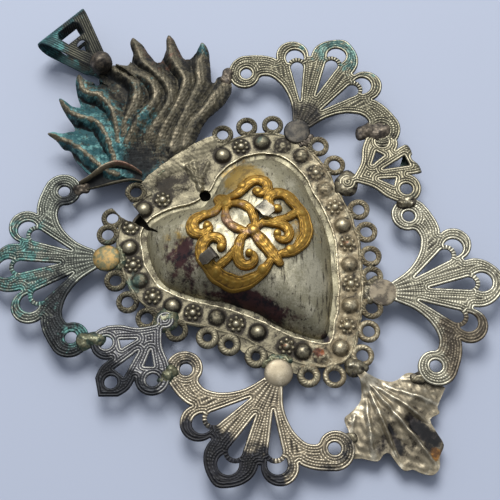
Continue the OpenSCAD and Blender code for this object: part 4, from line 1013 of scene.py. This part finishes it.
LEFT_ARM_TOP = [(-20.3, 34.6), (-17.5, 34.4), (-13.6, 34.8), (-10.5, 33.8), (-8.7, 31), (-7.9, 28.4)]
LEFT_ARM_LOW = [(-20.1, 32.2), (-17.6, 30.9), (-14.3, 29.5), (-11.2, 28.2), (-9.8, 27), (-9.2, 26.4)]
TIP_LIFT = 1.4


def resampled(path, count):
    """A path with evenly spaced points."""
    length = np.append(0, np.cumsum(np.linalg.norm(np.diff(path, axis=0), axis=1)))
    at = np.linspace(0, length[-1], count)
    return np.stack([np.interp(at, length, path[:, k]) for k in (0, 1)], 1)


def path_length(path):
    """Length of a path through its points."""
    return np.cumsum(np.linalg.norm(np.diff(path, axis=0), axis=1))[-1]


def grid_faces(ny, nx):
    """Triangles and rim of a grid of points, seen from above."""
    ids = np.arange(ny * nx).reshape(ny, nx)
    a, b = ids[:-1, :-1].ravel(), ids[:-1, 1:].ravel()
    c, d = ids[1:, 1:].ravel(), ids[1:, :-1].ravel()
    tris = np.concatenate([np.stack([a, b, c], 1), np.stack([a, c, d], 1)])
    loop = np.concatenate([ids[0, :], ids[1:, -1], ids[-1, -2::-1], ids[-2:0:-1, 0]])
    return tris, np.stack([loop, np.roll(loop, -1)], 1)


def flame_crown():
    p = grid((-20.5, 25.5), (23, 58.5), CELL)
    solid = outline_distance(p, smooth_path(CROWN_EDGE + CROWN_EDGE[:1])[:-1])
    solid = solid + 0.06 * ripple(p, 2.5, 59)
    z, near, tip, shaded = even(p), even(p, FAR), even(p), even(p, False)
    for h, points in CREST_LINES:
        line = smooth_path(points, 5)
        station, far, east = path_station(p, line)
        share = station / path_length(line)
        rise = h * (0.3 + 0.7 * ease(0, 0.3, share)) * (1 - 0.5 * ease(0.7, 1, share))
        far = far + 0.14 * ripple(p, 2.2, int(10 * h)) * ease(0, 0.6, far)
        # Each rounded ridge falls gently to the east and steeply to the west
        fall = (np.sqrt(far**2 + 0.12) - 0.35) / np.where(east, 4.0, 1.7)
        body = rise * (1 - ease(-0.1, 1, fall))
        lies_on = body > z
        z = np.where(lies_on, body, z)
        shaded = np.where(lies_on, ~east & (far > 0.15), shaded)
        tip = np.where(far < near, 1 - ease(0, 0.3, share), tip)
        near = np.minimum(near, far)
    z = z + 0.07 * np.cos(near * 5.5) * ease(0.5, 1.2, near) * ease(0.3, 1.2, z)
    z = z * ease(0.3, -1.1, solid) ** 0.6
    bowl = spot(p, (-5, 32.2), 6)
    z = z * (1 - 0.75 * ease(0, 0.7, bowl))
    dots = np.cos(p[..., 0] * 7.2 + p[..., 1] * 2) * np.cos(p[..., 1] * 7.2 - p[..., 0] * 2)
    z = z + 0.1 * np.maximum(dots, 0) * ease(0, 0.35, bowl)
    z = z + 0.06 * ripple(p, 1.1, 66) + 0.04 * ripple(p, 0.6, 67)
    # The free tips curl up, but for the one under the bail's foot
    curl = TIP_LIFT * tip**1.6 * ease(42, 47, p[..., 1])
    z = np.maximum(z, 0) + curl * (1 - spot(p, (0.6, 56), 4))
    # Painted shade: the valleys, where dirt also sits, and the steep western flanks are darker
    crest = 0.42 + 0.25 * bell(near, 0.5) - 0.25 * ease(0.9, 2.4, near) + 0.1 * ripple(p, 2, 68)
    crest = crest - 0.2 * shaded + 0.08 * dots * ease(0, 0.35, bowl)
    west = ease(4, -10, p[..., 0])
    teal = west * (0.15 + 0.6 * ease(0.2, 0.8, near)) + 0.55 * spot(p, (1, 38.6), 4)
    teal = teal + 0.4 * spot(p, (4, 46), 5)
    teal = (teal + 0.6 * spot(p, (20.6, 45), 3.4)) * (1 - 0.8 * bowl)
    dark = 0.5 * spot(p, (-7.5, 31), 7) + 0.3 * ease(1.1, 2.0, near) + 0.25 * spot(p, (12, 40), 4)
    dark = dark + 0.45 * shaded * ease(0.2, 0.9, near)
    pink = 0.35 * ease(3, 12, p[..., 0]) * ease(40, 48, p[..., 1])
    xy, masks, tris, rim = cut_sheet(p, solid, z=z, crest=crest, teal=teal, dark=dark, pink=pink)
    top = raised(xy, masks.pop("z"))
    # The left arm is a strap bent over on itself, so its lower side is a dark hollow
    rows, across = ((90, 30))
    top_edge, low_edge = (resampled(smooth_path(e, 8), rows) for e in (LEFT_ARM_TOP, LEFT_ARM_LOW))
    x = np.linspace(0, 1, across)
    arm = top_edge[:, None] + (low_edge - top_edge)[:, None] * x[None, :, None]
    along = np.linspace(0, 1, rows)[:, None]
    rise = (2.3 * bell(x - 0.2, 0.17) + 0.8 * bell(x - 0.95, 0.08))[None]
    arch = np.sin(np.pi * np.clip(0.15 + 0.8 * along, 0, 1)) ** 0.7
    arm_z = 0.1 + rise * arch + 0.05 * ripple(arm, 1.5, 69)
    arm_crest = np.clip(0.1 + 0.45 * rise + 0 * along, 0, 1)
    # Painted shade: the hollow under the bent-over edge is coloured dark
    groove = (ease(0.3, 0.42, x) * ease(0.93, 0.85, x))[None]
    hollow = 1.4 * groove * (0.5 + 0.6 * np.sin(np.pi * along))
    arm_masks = {"crest": arm_crest, "teal": 0 * hollow, "dark": hollow,
                 "pink": 0.75 * ease(0.2, 0.8, along) * ease(0.5, 0.8, arm_crest)}
    masks = {k: np.append(level, arm_masks[k]) for k, level in masks.items()}
    arm_tris, arm_rim = (ids[:, ::-1] + len(top) for ids in grid_faces(rows, across))
    top = np.concatenate([top, raised(arm.reshape(-1, 2), arm_z.ravel())]) + [0, 0, PLATE_Z]
    # Brown oxidised brass with little shine: copper pink on the eastern tips, black in the
    # grooves from dirt and painted shade, painted shade on the steep western flanks, and chalky
    # teal verdigris over the western flames
    material = patina("oxidised_stamped_brass", "#9A8F79", "#615B4A", "#201F1B", [
        ("pink", "#8F7060", "#5C4438", 0.8, 1.8, 0.6),
        ("teal", "#74A9A6", "#2C5A60", 1.0, 1.5, 0.3),
        ("dark", "#252B2C", "#0F1214", 0.7, 2.2, 0.4),
    ], metal=0.55, rough=0.58, grain=0.7)
    sheet_mesh("flame_crown", "stamped", top, top - [0, 0, SHEET], np.concatenate([tris, arm_tris]),
               np.concatenate([rim, arm_rim]), masks, material, "verdigris_sheet", 60)


flame_crown()

# Bail: a pierced strap with fine ridges, bent back on itself above the flames. Its front
# foot is under a ball of solder and its tail is soldered behind the crown.
BAIL_TURN, BAIL_FOOT, BAIL_LEN, BAIL_GAP, BAIL_HALF = 7.8, (0.2, 55.6), 14.0, 5.4, 7.2
BAIL_TILT = math.radians(11)
BAIL_FRONT = PLATE_Z + 1.4
BAIL_OUT = BAIL_GAP / 2 + SHEET
BAIL_FOLD = BAIL_LEN - BAIL_OUT
BAIL_MID_Z = BAIL_FRONT + SHEET - BAIL_OUT
BAIL_PIVOT = np.array([-1.6, BAIL_FRONT])


def normals(path):
    """Unit vectors to the left of a path."""
    along = np.gradient(path, axis=0)
    along /= np.linalg.norm(along, axis=1)[:, None]
    return np.stack([-along[:, 1], along[:, 0]], 1)


def tilted(points, turn):
    """Points (y, z) of the bail's side view, turned about the front end of its foot."""
    d = points - BAIL_PIVOT
    return BAIL_PIVOT + np.stack([d[..., 0] * math.cos(turn) - d[..., 1] * math.sin(turn),
                                  d[..., 0] * math.sin(turn) + d[..., 1] * math.cos(turn)], -1)


def bail_path(count):
    """Mid-line of the strap's side view as (y, z), from front foot to tail, with normals."""
    mid_r = BAIL_OUT - SHEET / 2
    turn = np.linspace(0, np.pi, 40)
    arc = np.stack([BAIL_FOLD + mid_r * np.sin(turn), BAIL_MID_Z + mid_r * np.cos(turn)], 1)
    back_z, under = BAIL_MID_Z - mid_r, TOP_Z - 0.06 - SHEET / 2
    tail = tilted(np.array([(-2.1, under), (-8.4, under)]), -BAIL_TILT)
    path = np.concatenate([[(-1.6, BAIL_MID_Z + mid_r)], arc, [(2.7, back_z)], tail])
    line = resampled(path, count)
    return np.linspace(0, path_length(path), count), line, normals(line)


def bail():
    at, line, normal = bail_path(500)
    total = at[-1]
    cell = CELL * 0.9
    p = grid((-8.5, -1), (8.5, total + 1), cell)
    u = p[..., 1]
    y_here = np.interp(u, at, line[:, 0])
    half = np.clip(1.9 + (BAIL_HALF - 1.9) * (y_here - 0.5) / (BAIL_LEN + 0.5), 1.9, 8)
    half = np.where(y_here < -5.8, 4.6, half)
    solid = np.maximum(np.abs(p[..., 0]) - half, np.maximum(-u, u - total))
    # Openings in the front leg, and the same two in the rear leg
    q = np.stack([p[..., 0], y_here], -1)
    middle = (BAIL_FOLD + np.pi / 2 * (BAIL_OUT - SHEET / 2)) + 1.6
    front = np.minimum(
        drop_distance(q, (0, 3.5), (0, 6.1), 1.3),
        outline_distance(q, [(-2.3, 8.3), (2.3, 8.3), (3, 10.8), (2.2, 12), (-2.2, 12), (-3, 10.8)]))
    rear = np.minimum(
        outline_distance(q, [(0, 4), (2, 8.1), (-2, 8.1)]),
        outline_distance(q, [(-2.8, 8.8), (2.8, 8.8), (3.4, 12.3), (-3.4, 12.3)]))
    solid = np.maximum(solid, -np.where(u < middle, front, rear))
    depth = edge_depth(p, solid, cell)
    # Fine ridges run beside the strap's two edges
    rows = 0.5 - 0.5 * np.cos(2 * np.pi * np.maximum(half - np.abs(p[..., 0]), 0) / 0.56)
    rows = rows * ease(0, 0.35, depth)
    xu, levels, tris, rim = cut_sheet(p, solid, rows=rows)
    (x, u), rows = xu.T, levels["rows"]
    y, z = np.interp(u, at, line[:, 0]), np.interp(u, at, line[:, 1])
    ny, nz = np.interp(u, at, normal[:, 0]), np.interp(u, at, normal[:, 1])
    rise = SHEET / 2 - 0.08 + 0.08 * rows

    def placed(offset):
        yz = tilted(np.stack([y + ny * offset, z + nz * offset], -1), BAIL_TILT)
        return raised(place_local(x, yz[:, 0], BAIL_FOOT, 90 + BAIL_TURN), yz[:, 1])

    # The strap's outer face is the front one before the bend and the rear one after it
    top, low = placed(rise), placed(-(SHEET / 2 - 0.04))
    teal = 0.75 * ease(1, -6, x) * ease(6, 10, u) + 0.5 * ease(10, 14, u)
    dark = 0.65 * ease(8, 3, u) + 0.5 * ease(0, 5, x)
    masks = {"crest": 0.65 * rows, "teal": teal, "dark": dark}
    # Oxidised brass, almost black near the foot and teal with verdigris towards the bend
    material = patina("oxidised_rolled_brass", "#8E8A74", "#4A4A3E", "#141615", [
        ("dark", "#3A3A32", "#151716", 0.8, 3.0, 0.6),
        ("teal", "#4F8E8C", "#1E4144", 0.8, 2.0, 0.3),
    ], grain=0.4)
    sheet_mesh("bail", "strap", top, low, tris, rim, masks, material, "verdigris_sheet", 60)


bail()

# Gilt ornament: thick gilt openwork of mirrored scrolls, worn to copper in the middle.
# It lies on the dome and is held by two bent tabs.
ORNAMENT_MID = np.array([0.8, 1.2])
STRAND_W, STRAND_H = 2.5, 1.1


def spiral(eye, r0, r1, a0, a1, n=12):
    """Points of a spiral about its eye, from one radius and angle to another."""
    t = np.linspace(0, 1, n + 1)
    turn = np.radians(a0 + (a1 - a0) * t)
    return np.array(eye) + (r0 + (r1 - r0) * t)[:, None] * ray(turn)


# Strands of the right half; the left half mirrors them
SIDE_SCROLL = np.concatenate([
    smooth_path([(1.2, -8.2), (4.6, -9), (8.8, -7.4), (11.2, -3.4), (11.3, 0.4)]),
    spiral((8.1, 1.2), 3.2, 1.2, 0, 235)])
TOP_SCROLL = np.concatenate([
    smooth_path([(0.6, 9.6), (3.2, 8.6), (6.4, 9.3)]), spiral((7.2, 6.6), 2.7, 0.9, 85, -170)])
LOW_SCROLL = np.concatenate([
    smooth_path([(0.6, -0.6), (3, -0.7), (5, -2.4)]), spiral((4.1, -4.8), 2.3, 0.8, 50, -190)])
HEART_LEAF = smooth_path([(0, 8.4), (2.1, 5.8), (2.6, 3.2), (1.6, 0.6), (0, -1.6)])
SIDE_BAR = smooth_path([(5.2, -1.6), (7.6, -2.4), (11.2, -2.2)])
LOW_STEM = smooth_path([(0, -9.6), (0, -6.6), (0, -3), (0, 0)])
TOP_STEM = smooth_path([(0, 8), (0, 9.8), (0, 11.3)])
KNOBS = [((7.3, 0.3), 0.95), ((6.6, 6.1), 0.9), ((3.6, -4.3), 0.85), ((0, -0.9), 1.25), ((0, 8.6), 1.2),
         ((11.2, -3), 1.15), ((4.9, 9.4), 1.0), ((3.6, -8.7), 1.1)]


def gilt_ornament():
    p = grid((-13.5, -11.5), (13.5, 13), CELL * 0.75)
    q = np.stack([np.abs(p[..., 0]), p[..., 1]], -1)
    solid, z, crest = even(p, FAR), even(p), even(p)
    for path, wide in ((SIDE_SCROLL, 1), (TOP_SCROLL, 0.92), (LOW_SCROLL, 0.76), (HEART_LEAF, 0.68),
                       (SIDE_BAR, 0.6), (LOW_STEM, 0.96), (TOP_STEM, 1.04)):
        station, far, _ = path_station(q, path)
        total = path_length(path)
        fullness = np.sin(np.pi * np.minimum(1, (station + 0.8) / (total + 1.4)))
        half = STRAND_W / 2 * wide * (0.55 + 0.45 * fullness)
        # Leaf lobes make the edge wavy and slanted veins are chased between them
        half = half * (1.22 + 0.06 * np.cos(station * 1.7 + wide * 9))
        rel = far / half
        dome = ease(1.02, 0.7, rel)
        vein = np.cos(station * 4.2 - 5.0 * rel) * ease(0.66, 0.5, rel)
        spine = 0.1 * bell(rel, 0.16) - 0.12 * bell(rel - 0.64, 0.09)
        border = 0.16 * bell(rel - 0.82, 0.1)
        body = STRAND_H * (0.34 + 0.42 * dome) + (spine + border + 0.025 * vein) * (rel < 1)
        solid = np.minimum(solid, far - half)
        ridge = 0.3 + 0.18 * dome + 2 * spine + 1.8 * border + 0.14 * vein
        crest = np.where((rel < 1) & (body > z), ridge, crest)
        z = np.where(rel < 1, np.maximum(z, body), z)
    for eye, r in KNOBS:
        far = np.linalg.norm(q - np.array(eye), axis=-1)
        knob = STRAND_H * (0.5 + 0.65 * np.sqrt(np.maximum(1 - (far / r) ** 2, 0)))
        crest = np.where((far < r) & (knob > z), 0.35 + 0.6 * (1 - far / r), crest)
        z = np.where(far < r, np.maximum(z, knob), z)
        solid = np.minimum(solid, far - r)
    z = z + 0.03 * ripple(p, 2.2, 71) + 0.012 * ripple(p, 0.9, 72)
    place = p + ORNAMENT_MID
    seat = BORDER_Z + dome_height(place) + 0.1
    worn = 0.75 * spot(p, (-2.5, 4.5), 6.5) + 0.5 * spot(p, (-1.5, -2), 5) + 0.15 * ripple(p, 4, 73)
    xy, masks, tris, rim = cut_sheet(place, solid, z=seat + z, seat=seat, crest=crest, worn=worn)
    top, low = raised(xy, masks.pop("z")), raised(xy, masks.pop("seat"))
    # Fire-gilt copper: deep warm yellow on the strands, pinkish where the gold is worn off
    material = patina("worn_fire_gilt_copper", "#DCBA62", "#AD8638", "#523A16", [
        ("worn", "#B8987C", "#85684C", 0.9, 1.4, 0.6),
    ], metal=0.75, rough=0.5, grain=0.35)
    sheet_mesh("gilt_ornament", "cast", top, low, tris, rim, masks, material, "gilt_sheet", 60)


gilt_ornament()

# Holding tabs: two strips of soft silvered sheet that come up through slits in the dome
# and are bent down over the gilt ornament's scrolls.
TAB_LEN, TAB_LIFT = 3.4, 0.5
# Slit's place, turn in degrees, width and colour
TABS = {
    "ornament_tab_right": (5.2, 3.8, 6, 2.9, "#9A9484"),
    "ornament_tab_left": (-8.1, 1.3, -90, 2.4, "#4A453E"),
}


def holding_tab(name, x, y, turn, width, tint):
    base = np.array([x, y])
    normal = dome_normal(base, 0.1)
    normal /= np.linalg.norm(normal)
    ahead = np.append(ray(math.radians(turn - 90)), 0)
    ahead -= (ahead @ normal) * normal
    ahead /= np.linalg.norm(ahead)
    across = np.cross(normal, ahead)
    root = np.array([x, y, BORDER_Z + float(dome_height(base))])
    top_h = STRAND_H + TAB_LIFT + SHEET / 2
    # Side view of the strip: up through the slit, over a bend, down to the scroll's face
    bend = np.linspace(0, np.pi / 2, 8)
    side = [(0, -1.3), (0, 0), (0, top_h - 0.6)]
    side += [(0.6 - 0.6 * np.cos(t), top_h - 0.6 + 0.6 * np.sin(t)) for t in bend[1:]]
    side += [(1.6, top_h), (2.5, top_h - 0.06), (TAB_LEN, top_h - 0.2)]
    side = resampled(np.array(side), 40)
    v = np.linspace(-1, 1, 17)
    run = np.linspace(0, 1, 40)
    half = width / 2 * (1 - 0.35 * ease(0.86, 1, run)) * (1 + 0.04 * np.sin(run * 17))
    faces = []
    for offset in (SHEET / 2, -SHEET / 2):
        a, b = (side + normals(side) * offset).T
        sag = 0.06 * (1 - v[None] ** 2) + 0 * run[:, None]
        points = root + a[:, None, None] * ahead + (b[:, None] + sag)[..., None] * normal
        faces.append((points + (half[:, None] * v[None])[..., None] * across).reshape(-1, 3))
    tris, rim = grid_faces(40, 17)
    crest = (0.4 + 0.3 * v[None] ** 2 + 0.1 * np.sin(run * 9)[:, None]).ravel()
    # Silver plate, bare and clean on one strip and tarnished dark on the other
    metal = patina(name + "_bent_silvered_brass", "#A8A392", tint, "#2F2C28", rough=0.45)
    sheet_mesh(name, "bent", *faces, tris, rim, {"crest": crest}, metal, "silvered_sheet")


for name, (x, y, turn, width, tint) in TABS.items():
    holding_tab(name, x, y, turn, width, tint)

# Solder: soft lumps and runs where the stampings meet. It has set in dull rounded shapes
# with small pits, browner or greener where flux was left on it.
solder_kinds = {
    "grey": patina("grey_tin_lead_solder", "#B5AE98", "#7D755F", "#37312A", [
        ("dark", "#5A5344", "#2B2722", 0.9, 1.2, 0.5)], metal=0.65, rough=0.5, grain=0.9),
    "brown": patina("flux_browned_solder", "#8F8272", "#5F564A", "#26221E", [
        ("dark", "#453E37", "#231F1D", 0.9, 1.2, 0.3)], metal=0.45, rough=0.58, grain=0.9),
    "green": patina("verdigris_stained_solder", "#9C9C80", "#6C6B52", "#2E3229", [
        ("dark", "#4F5F50", "#2C3630", 0.9, 1.2, 0.4)], metal=0.5, rough=0.5, grain=0.9),
}


def solder_run(name, line, width, height, base, kind, seed):
    """Run of solder along a line: a rounded bead with a wandering edge and a lumpy top."""
    line = np.asarray(line, float)
    p = grid(line.min(0) - width - 1, line.max(0) + width + 1, CELL * 0.9)
    far = path_station(p, line)[1]
    wide = width * (1.1 + 0.24 * ripple(p, width * 2.6, seed))
    rel = np.clip(far / wide, 0, 1)
    z = height * (1 - rel**2) ** 0.7 * (0.85 + 0.2 * ripple(p, width * 1.6, seed + 1))
    z = z + 0.04 * ripple(p, 0.9, seed + 2) * ease(1, 0.7, rel)
    crest = 0.4 + 0.35 * z / height + 0.2 * ripple(p, 1.1, seed + 3)
    dark = 0.35 + 0.35 * ripple(p, 2, seed + 4) + 0.4 * ease(0.7, 1, rel)
    xy, masks, tris, rim = cut_sheet(p, far - wide, z=np.maximum(z, 0.02), crest=crest, dark=dark)
    top, low = raised(xy, base + masks.pop("z")), raised(xy, np.full(len(xy), base - 0.05))
    sheet_mesh(name, "run", top, low, tris, rim, masks, solder_kinds[kind], "solder", 70)


def arc_round(centre, r, mid, sweep):
    """Points on part of a circle, with its middle and sweep in degrees."""
    turn = np.radians(np.linspace(mid - sweep / 2, mid + sweep / 2, 12))
    return centre + r * ray(turn)


# Round the large fans' foot discs: turn of the run's middle and its sweep in degrees, and kind
for fan, turn, sweep, kind in (
    ("fan_upper_right", 62, 70, "brown"), ("fan_lower_right", 0, 120, "grey"),
    ("fan_lower_left", 0, 120, "green"), ("fan_upper_left", 0, 100, "green"),
):
    run = arc_round(fan_point(fan, 0, 0), FOOT_R + 0.35, FANS[fan][0] + 180 + turn, sweep - 24)
    solder_run("solder_" + fan, run, 0.75, 0.6, TOP_Z, kind, 80 + sweep)
for fan, kind in (("small_fan_right", "grey"), ("small_fan_left", "green")):
    centre = fan_point(fan, 0, 0)
    reach = 0.8 * ray(math.radians(FANS[fan][0] + 180))
    run = [centre - 0.4 * reach, centre + reach]
    solder_run("solder_" + fan, run, SMALL_FOOT_R + 0.5, 1.15, TOP_Z, kind, 95)
solder_run("solder_leaf_stem", LEAF_FOOT + [(0.4, 2.7), (1.2, 2.0)], 1.75, 1.3, TOP_Z, "grey", 101)
solder_run("solder_crown_seam", [(-8.8, 25.7), (-4, 25.9), (0, 25.9), (4.2, 25.8)], 0.55, 0.6,
           TOP_Z, "green", 102)

# Between the scroll eyes of a large and a small fan: the side of the large one, the share of
# the way to the small one, the run's ends from there, width, height and kind
for i, (name, large, side, share, start, end, width, height, kind) in enumerate([
    ("upper_right", "fan_upper_right", 1, 0.1, (-2.2, 1.6), (0.6, 0.4), 2.2, 1.35, "brown"),
    ("right", "fan_lower_right", -1, 0.47, (-0.7, 0.2), (0.5, -0.3), 1.3, 1.15, "grey"),
    ("lower_left", "fan_lower_left", 1, 0.5, (-0.8, 0), (0.7, 0.2), 1.4, 1.1, "green"),
    ("left", "fan_upper_left", -1, 0.55, (-1, 0.6), (1, -0.5), 1.7, 1.1, "green"),
]):
    near = fan_point(large, side * SCROLL_EYE[0], SCROLL_EYE[1])
    far = fan_point("small_fan_" + name.split("_")[-1], -side * SMALL_TIP[0], SMALL_TIP[1])
    eye = near + (far - near) * share
    solder_run("solder_link_" + name, [eye + start, eye + end], width, height, PLATE_Z, kind,
               103 + i)

# Where the crown and the leaf touch the fans: ends, width, height, level and kind
for i, (name, line, width, height, base, kind) in enumerate([
    ("crown_right", [(20.4, 36), (22.2, 37.2)], 1.3, 1.0, PLATE_Z, "brown"),
    ("crown_left", [(-21.2, 33.4), (-19.8, 32.8)], 1.1, 0.9, PLATE_Z, "brown"),
    ("leaf_right", LEAF_FOOT + [(9.1, -6.6), (10, -7.1)], 1.1, 0.55, TOP_Z - 0.35, "grey"),
    ("leaf_left", LEAF_FOOT + [(-9.4, -7.6), (-8.6, -8)], 0.9, 0.5, TOP_Z - 0.35, "grey"),
]):
    solder_run("solder_link_" + name, line, width, height, base, kind, 107 + i)


def solder_ball():
    """Ball that holds the bail's foot on the middle flame, dented and drawn out at its base."""
    centre = place_local(np.array(0.0), np.array(0.0), BAIL_FOOT, 90 + BAIL_TURN)
    turns, rings = ((96, 52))
    a, b = np.meshgrid(np.linspace(0, 2 * np.pi, turns + 1), np.linspace(0.02, 2.62, rings),
                       indexing="ij")
    way = np.stack([np.sin(b) * np.cos(a), np.sin(b) * np.sin(a), np.cos(b)], -1)
    dents = 0.025 * ripple(way[..., :2] * 3, 3, 111)
    r = 2.5 * (1 + dents + 0.012 * ripple(way[..., 1:] * 3, 1.1, 112))
    r = r + 0.5 * ease(1.9, 2.5, b)
    points = way * r[..., None] + [centre[0], centre[1], BAIL_FRONT + 1]
    points[..., 2] = np.maximum(points[..., 2], PLATE_Z + 0.3)
    tris, rim = grid_faces(turns + 1, rings)
    crest = (0.35 + 0.3 * way[..., 2] + 0.25 * ripple(way[..., :2] * 3, 1.6, 113)).ravel()
    obj = add_mesh("solder_bail_ball_cast", points.reshape(-1, 3), tris[:, ::-1],
                   {"crest": crest, "dark": 0.5 + 0 * crest}, solder_kinds["brown"], 70)
    take_place(obj, "solder_bail_ball")


solder_ball()

# Stage: a pale painted table, one large soft light from the far side like a window, and
# a pale room round it, seen by a camera that stands where the photographer did.
CAMERA_TURN, CAMERA_LIFT, CAMERA_FAR = math.radians(-37.5), math.radians(66.5), 215.0
FRAME_W, PHOTO_SIDE = 105.0, 500
TARGET = np.array([0, 0, 4.0])
right = np.array([math.cos(CAMERA_TURN), math.sin(CAMERA_TURN), 0])
back = np.array([math.sin(-CAMERA_TURN), math.cos(CAMERA_TURN), 0])

# Matt paint, so that the floor takes a soft shadow and no glare
floor_mat, floor_tree = new_material("pale_matt_paint")
floor_shader = add(floor_tree, "ShaderNodeBsdfPrincipled", {
    "Base Color": rgb("#C0C9DD"), "Roughness": 0.85})
add(floor_tree, "ShaderNodeOutputMaterial", {"Surface": floor_shader.outputs[0]})
bpy.ops.mesh.primitive_plane_add(size=4.0, location=(0, 0, -0.00002))
floor = bpy.context.object
floor.name = "table"
floor.data.materials.append(floor_mat)

# The room is bright beyond the table and above it, and dim on the near side
world = bpy.data.worlds.new("surround")
bpy.context.scene.world = world
world.use_nodes = True
tree = world.node_tree
tree.nodes.clear()
sight = add(tree, "ShaderNodeTexCoord").outputs["Generated"]
toward_window = add(tree, "ShaderNodeVectorMath", {
    0: sight, 1: tuple(0.75 * back + np.array([0, 0, 0.65]))}, operation="DOT_PRODUCT")
glow = add(tree, "ShaderNodeMapRange", {
    "Value": toward_window.outputs["Value"], "From Min": -0.3, "From Max": 0.95,
    "To Min": 0.12, "To Max": 0.72}).outputs["Result"]
seen = add(tree, "ShaderNodeLightPath").outputs["Is Camera Ray"]
strength = maths(tree, "MAXIMUM", glow, maths(tree, "MULTIPLY", seen, 0.8))
surround = add(tree, "ShaderNodeBackground", {"Color": rgb("#D9DEE8"), "Strength": strength})
add(tree, "ShaderNodeOutputWorld", {"Surface": surround.outputs[0]})

window = bpy.data.lights.new("window_light", "AREA")
window.size, window.energy, window.color = 0.42, 4.4, rgb("#FFFDF8")[:3]
window_at = 0.62 * (np.array([0, 0, 1]) + 0.66 * back - 0.1 * right)
z = window_at / np.linalg.norm(window_at)
x = np.cross((0, 1, 0), z)
x /= np.linalg.norm(x)
light = bpy.data.objects.new("window_light", window)
light.location = window_at
light.rotation_euler = Matrix(np.stack([x, np.cross(z, x), z], 1)).to_euler()
bpy.context.scene.collection.objects.link(light)

camera = bpy.data.objects.new("camera", bpy.data.cameras.new("camera"))
bpy.context.scene.collection.objects.link(camera)
toward = np.array([math.sin(CAMERA_TURN) * math.cos(CAMERA_LIFT),
                   -math.cos(CAMERA_TURN) * math.cos(CAMERA_LIFT), math.sin(CAMERA_LIFT)])
camera.matrix_world = Matrix.Translation((TARGET + CAMERA_FAR * toward) * MM) @ Matrix(
    np.stack([right, np.cross(toward, right), toward], 1)).to_4x4()
camera.data.sensor_fit = "HORIZONTAL"
camera.data.angle = 2 * math.atan(FRAME_W / 2 / CAMERA_FAR)
camera.data.shift_x, camera.data.shift_y = -1 / PHOTO_SIDE, -2 / PHOTO_SIDE
camera.data.clip_start, camera.data.clip_end = 0.01, 10
bpy.context.scene.camera = camera
bpy.context.scene.view_settings.view_transform = "Standard"
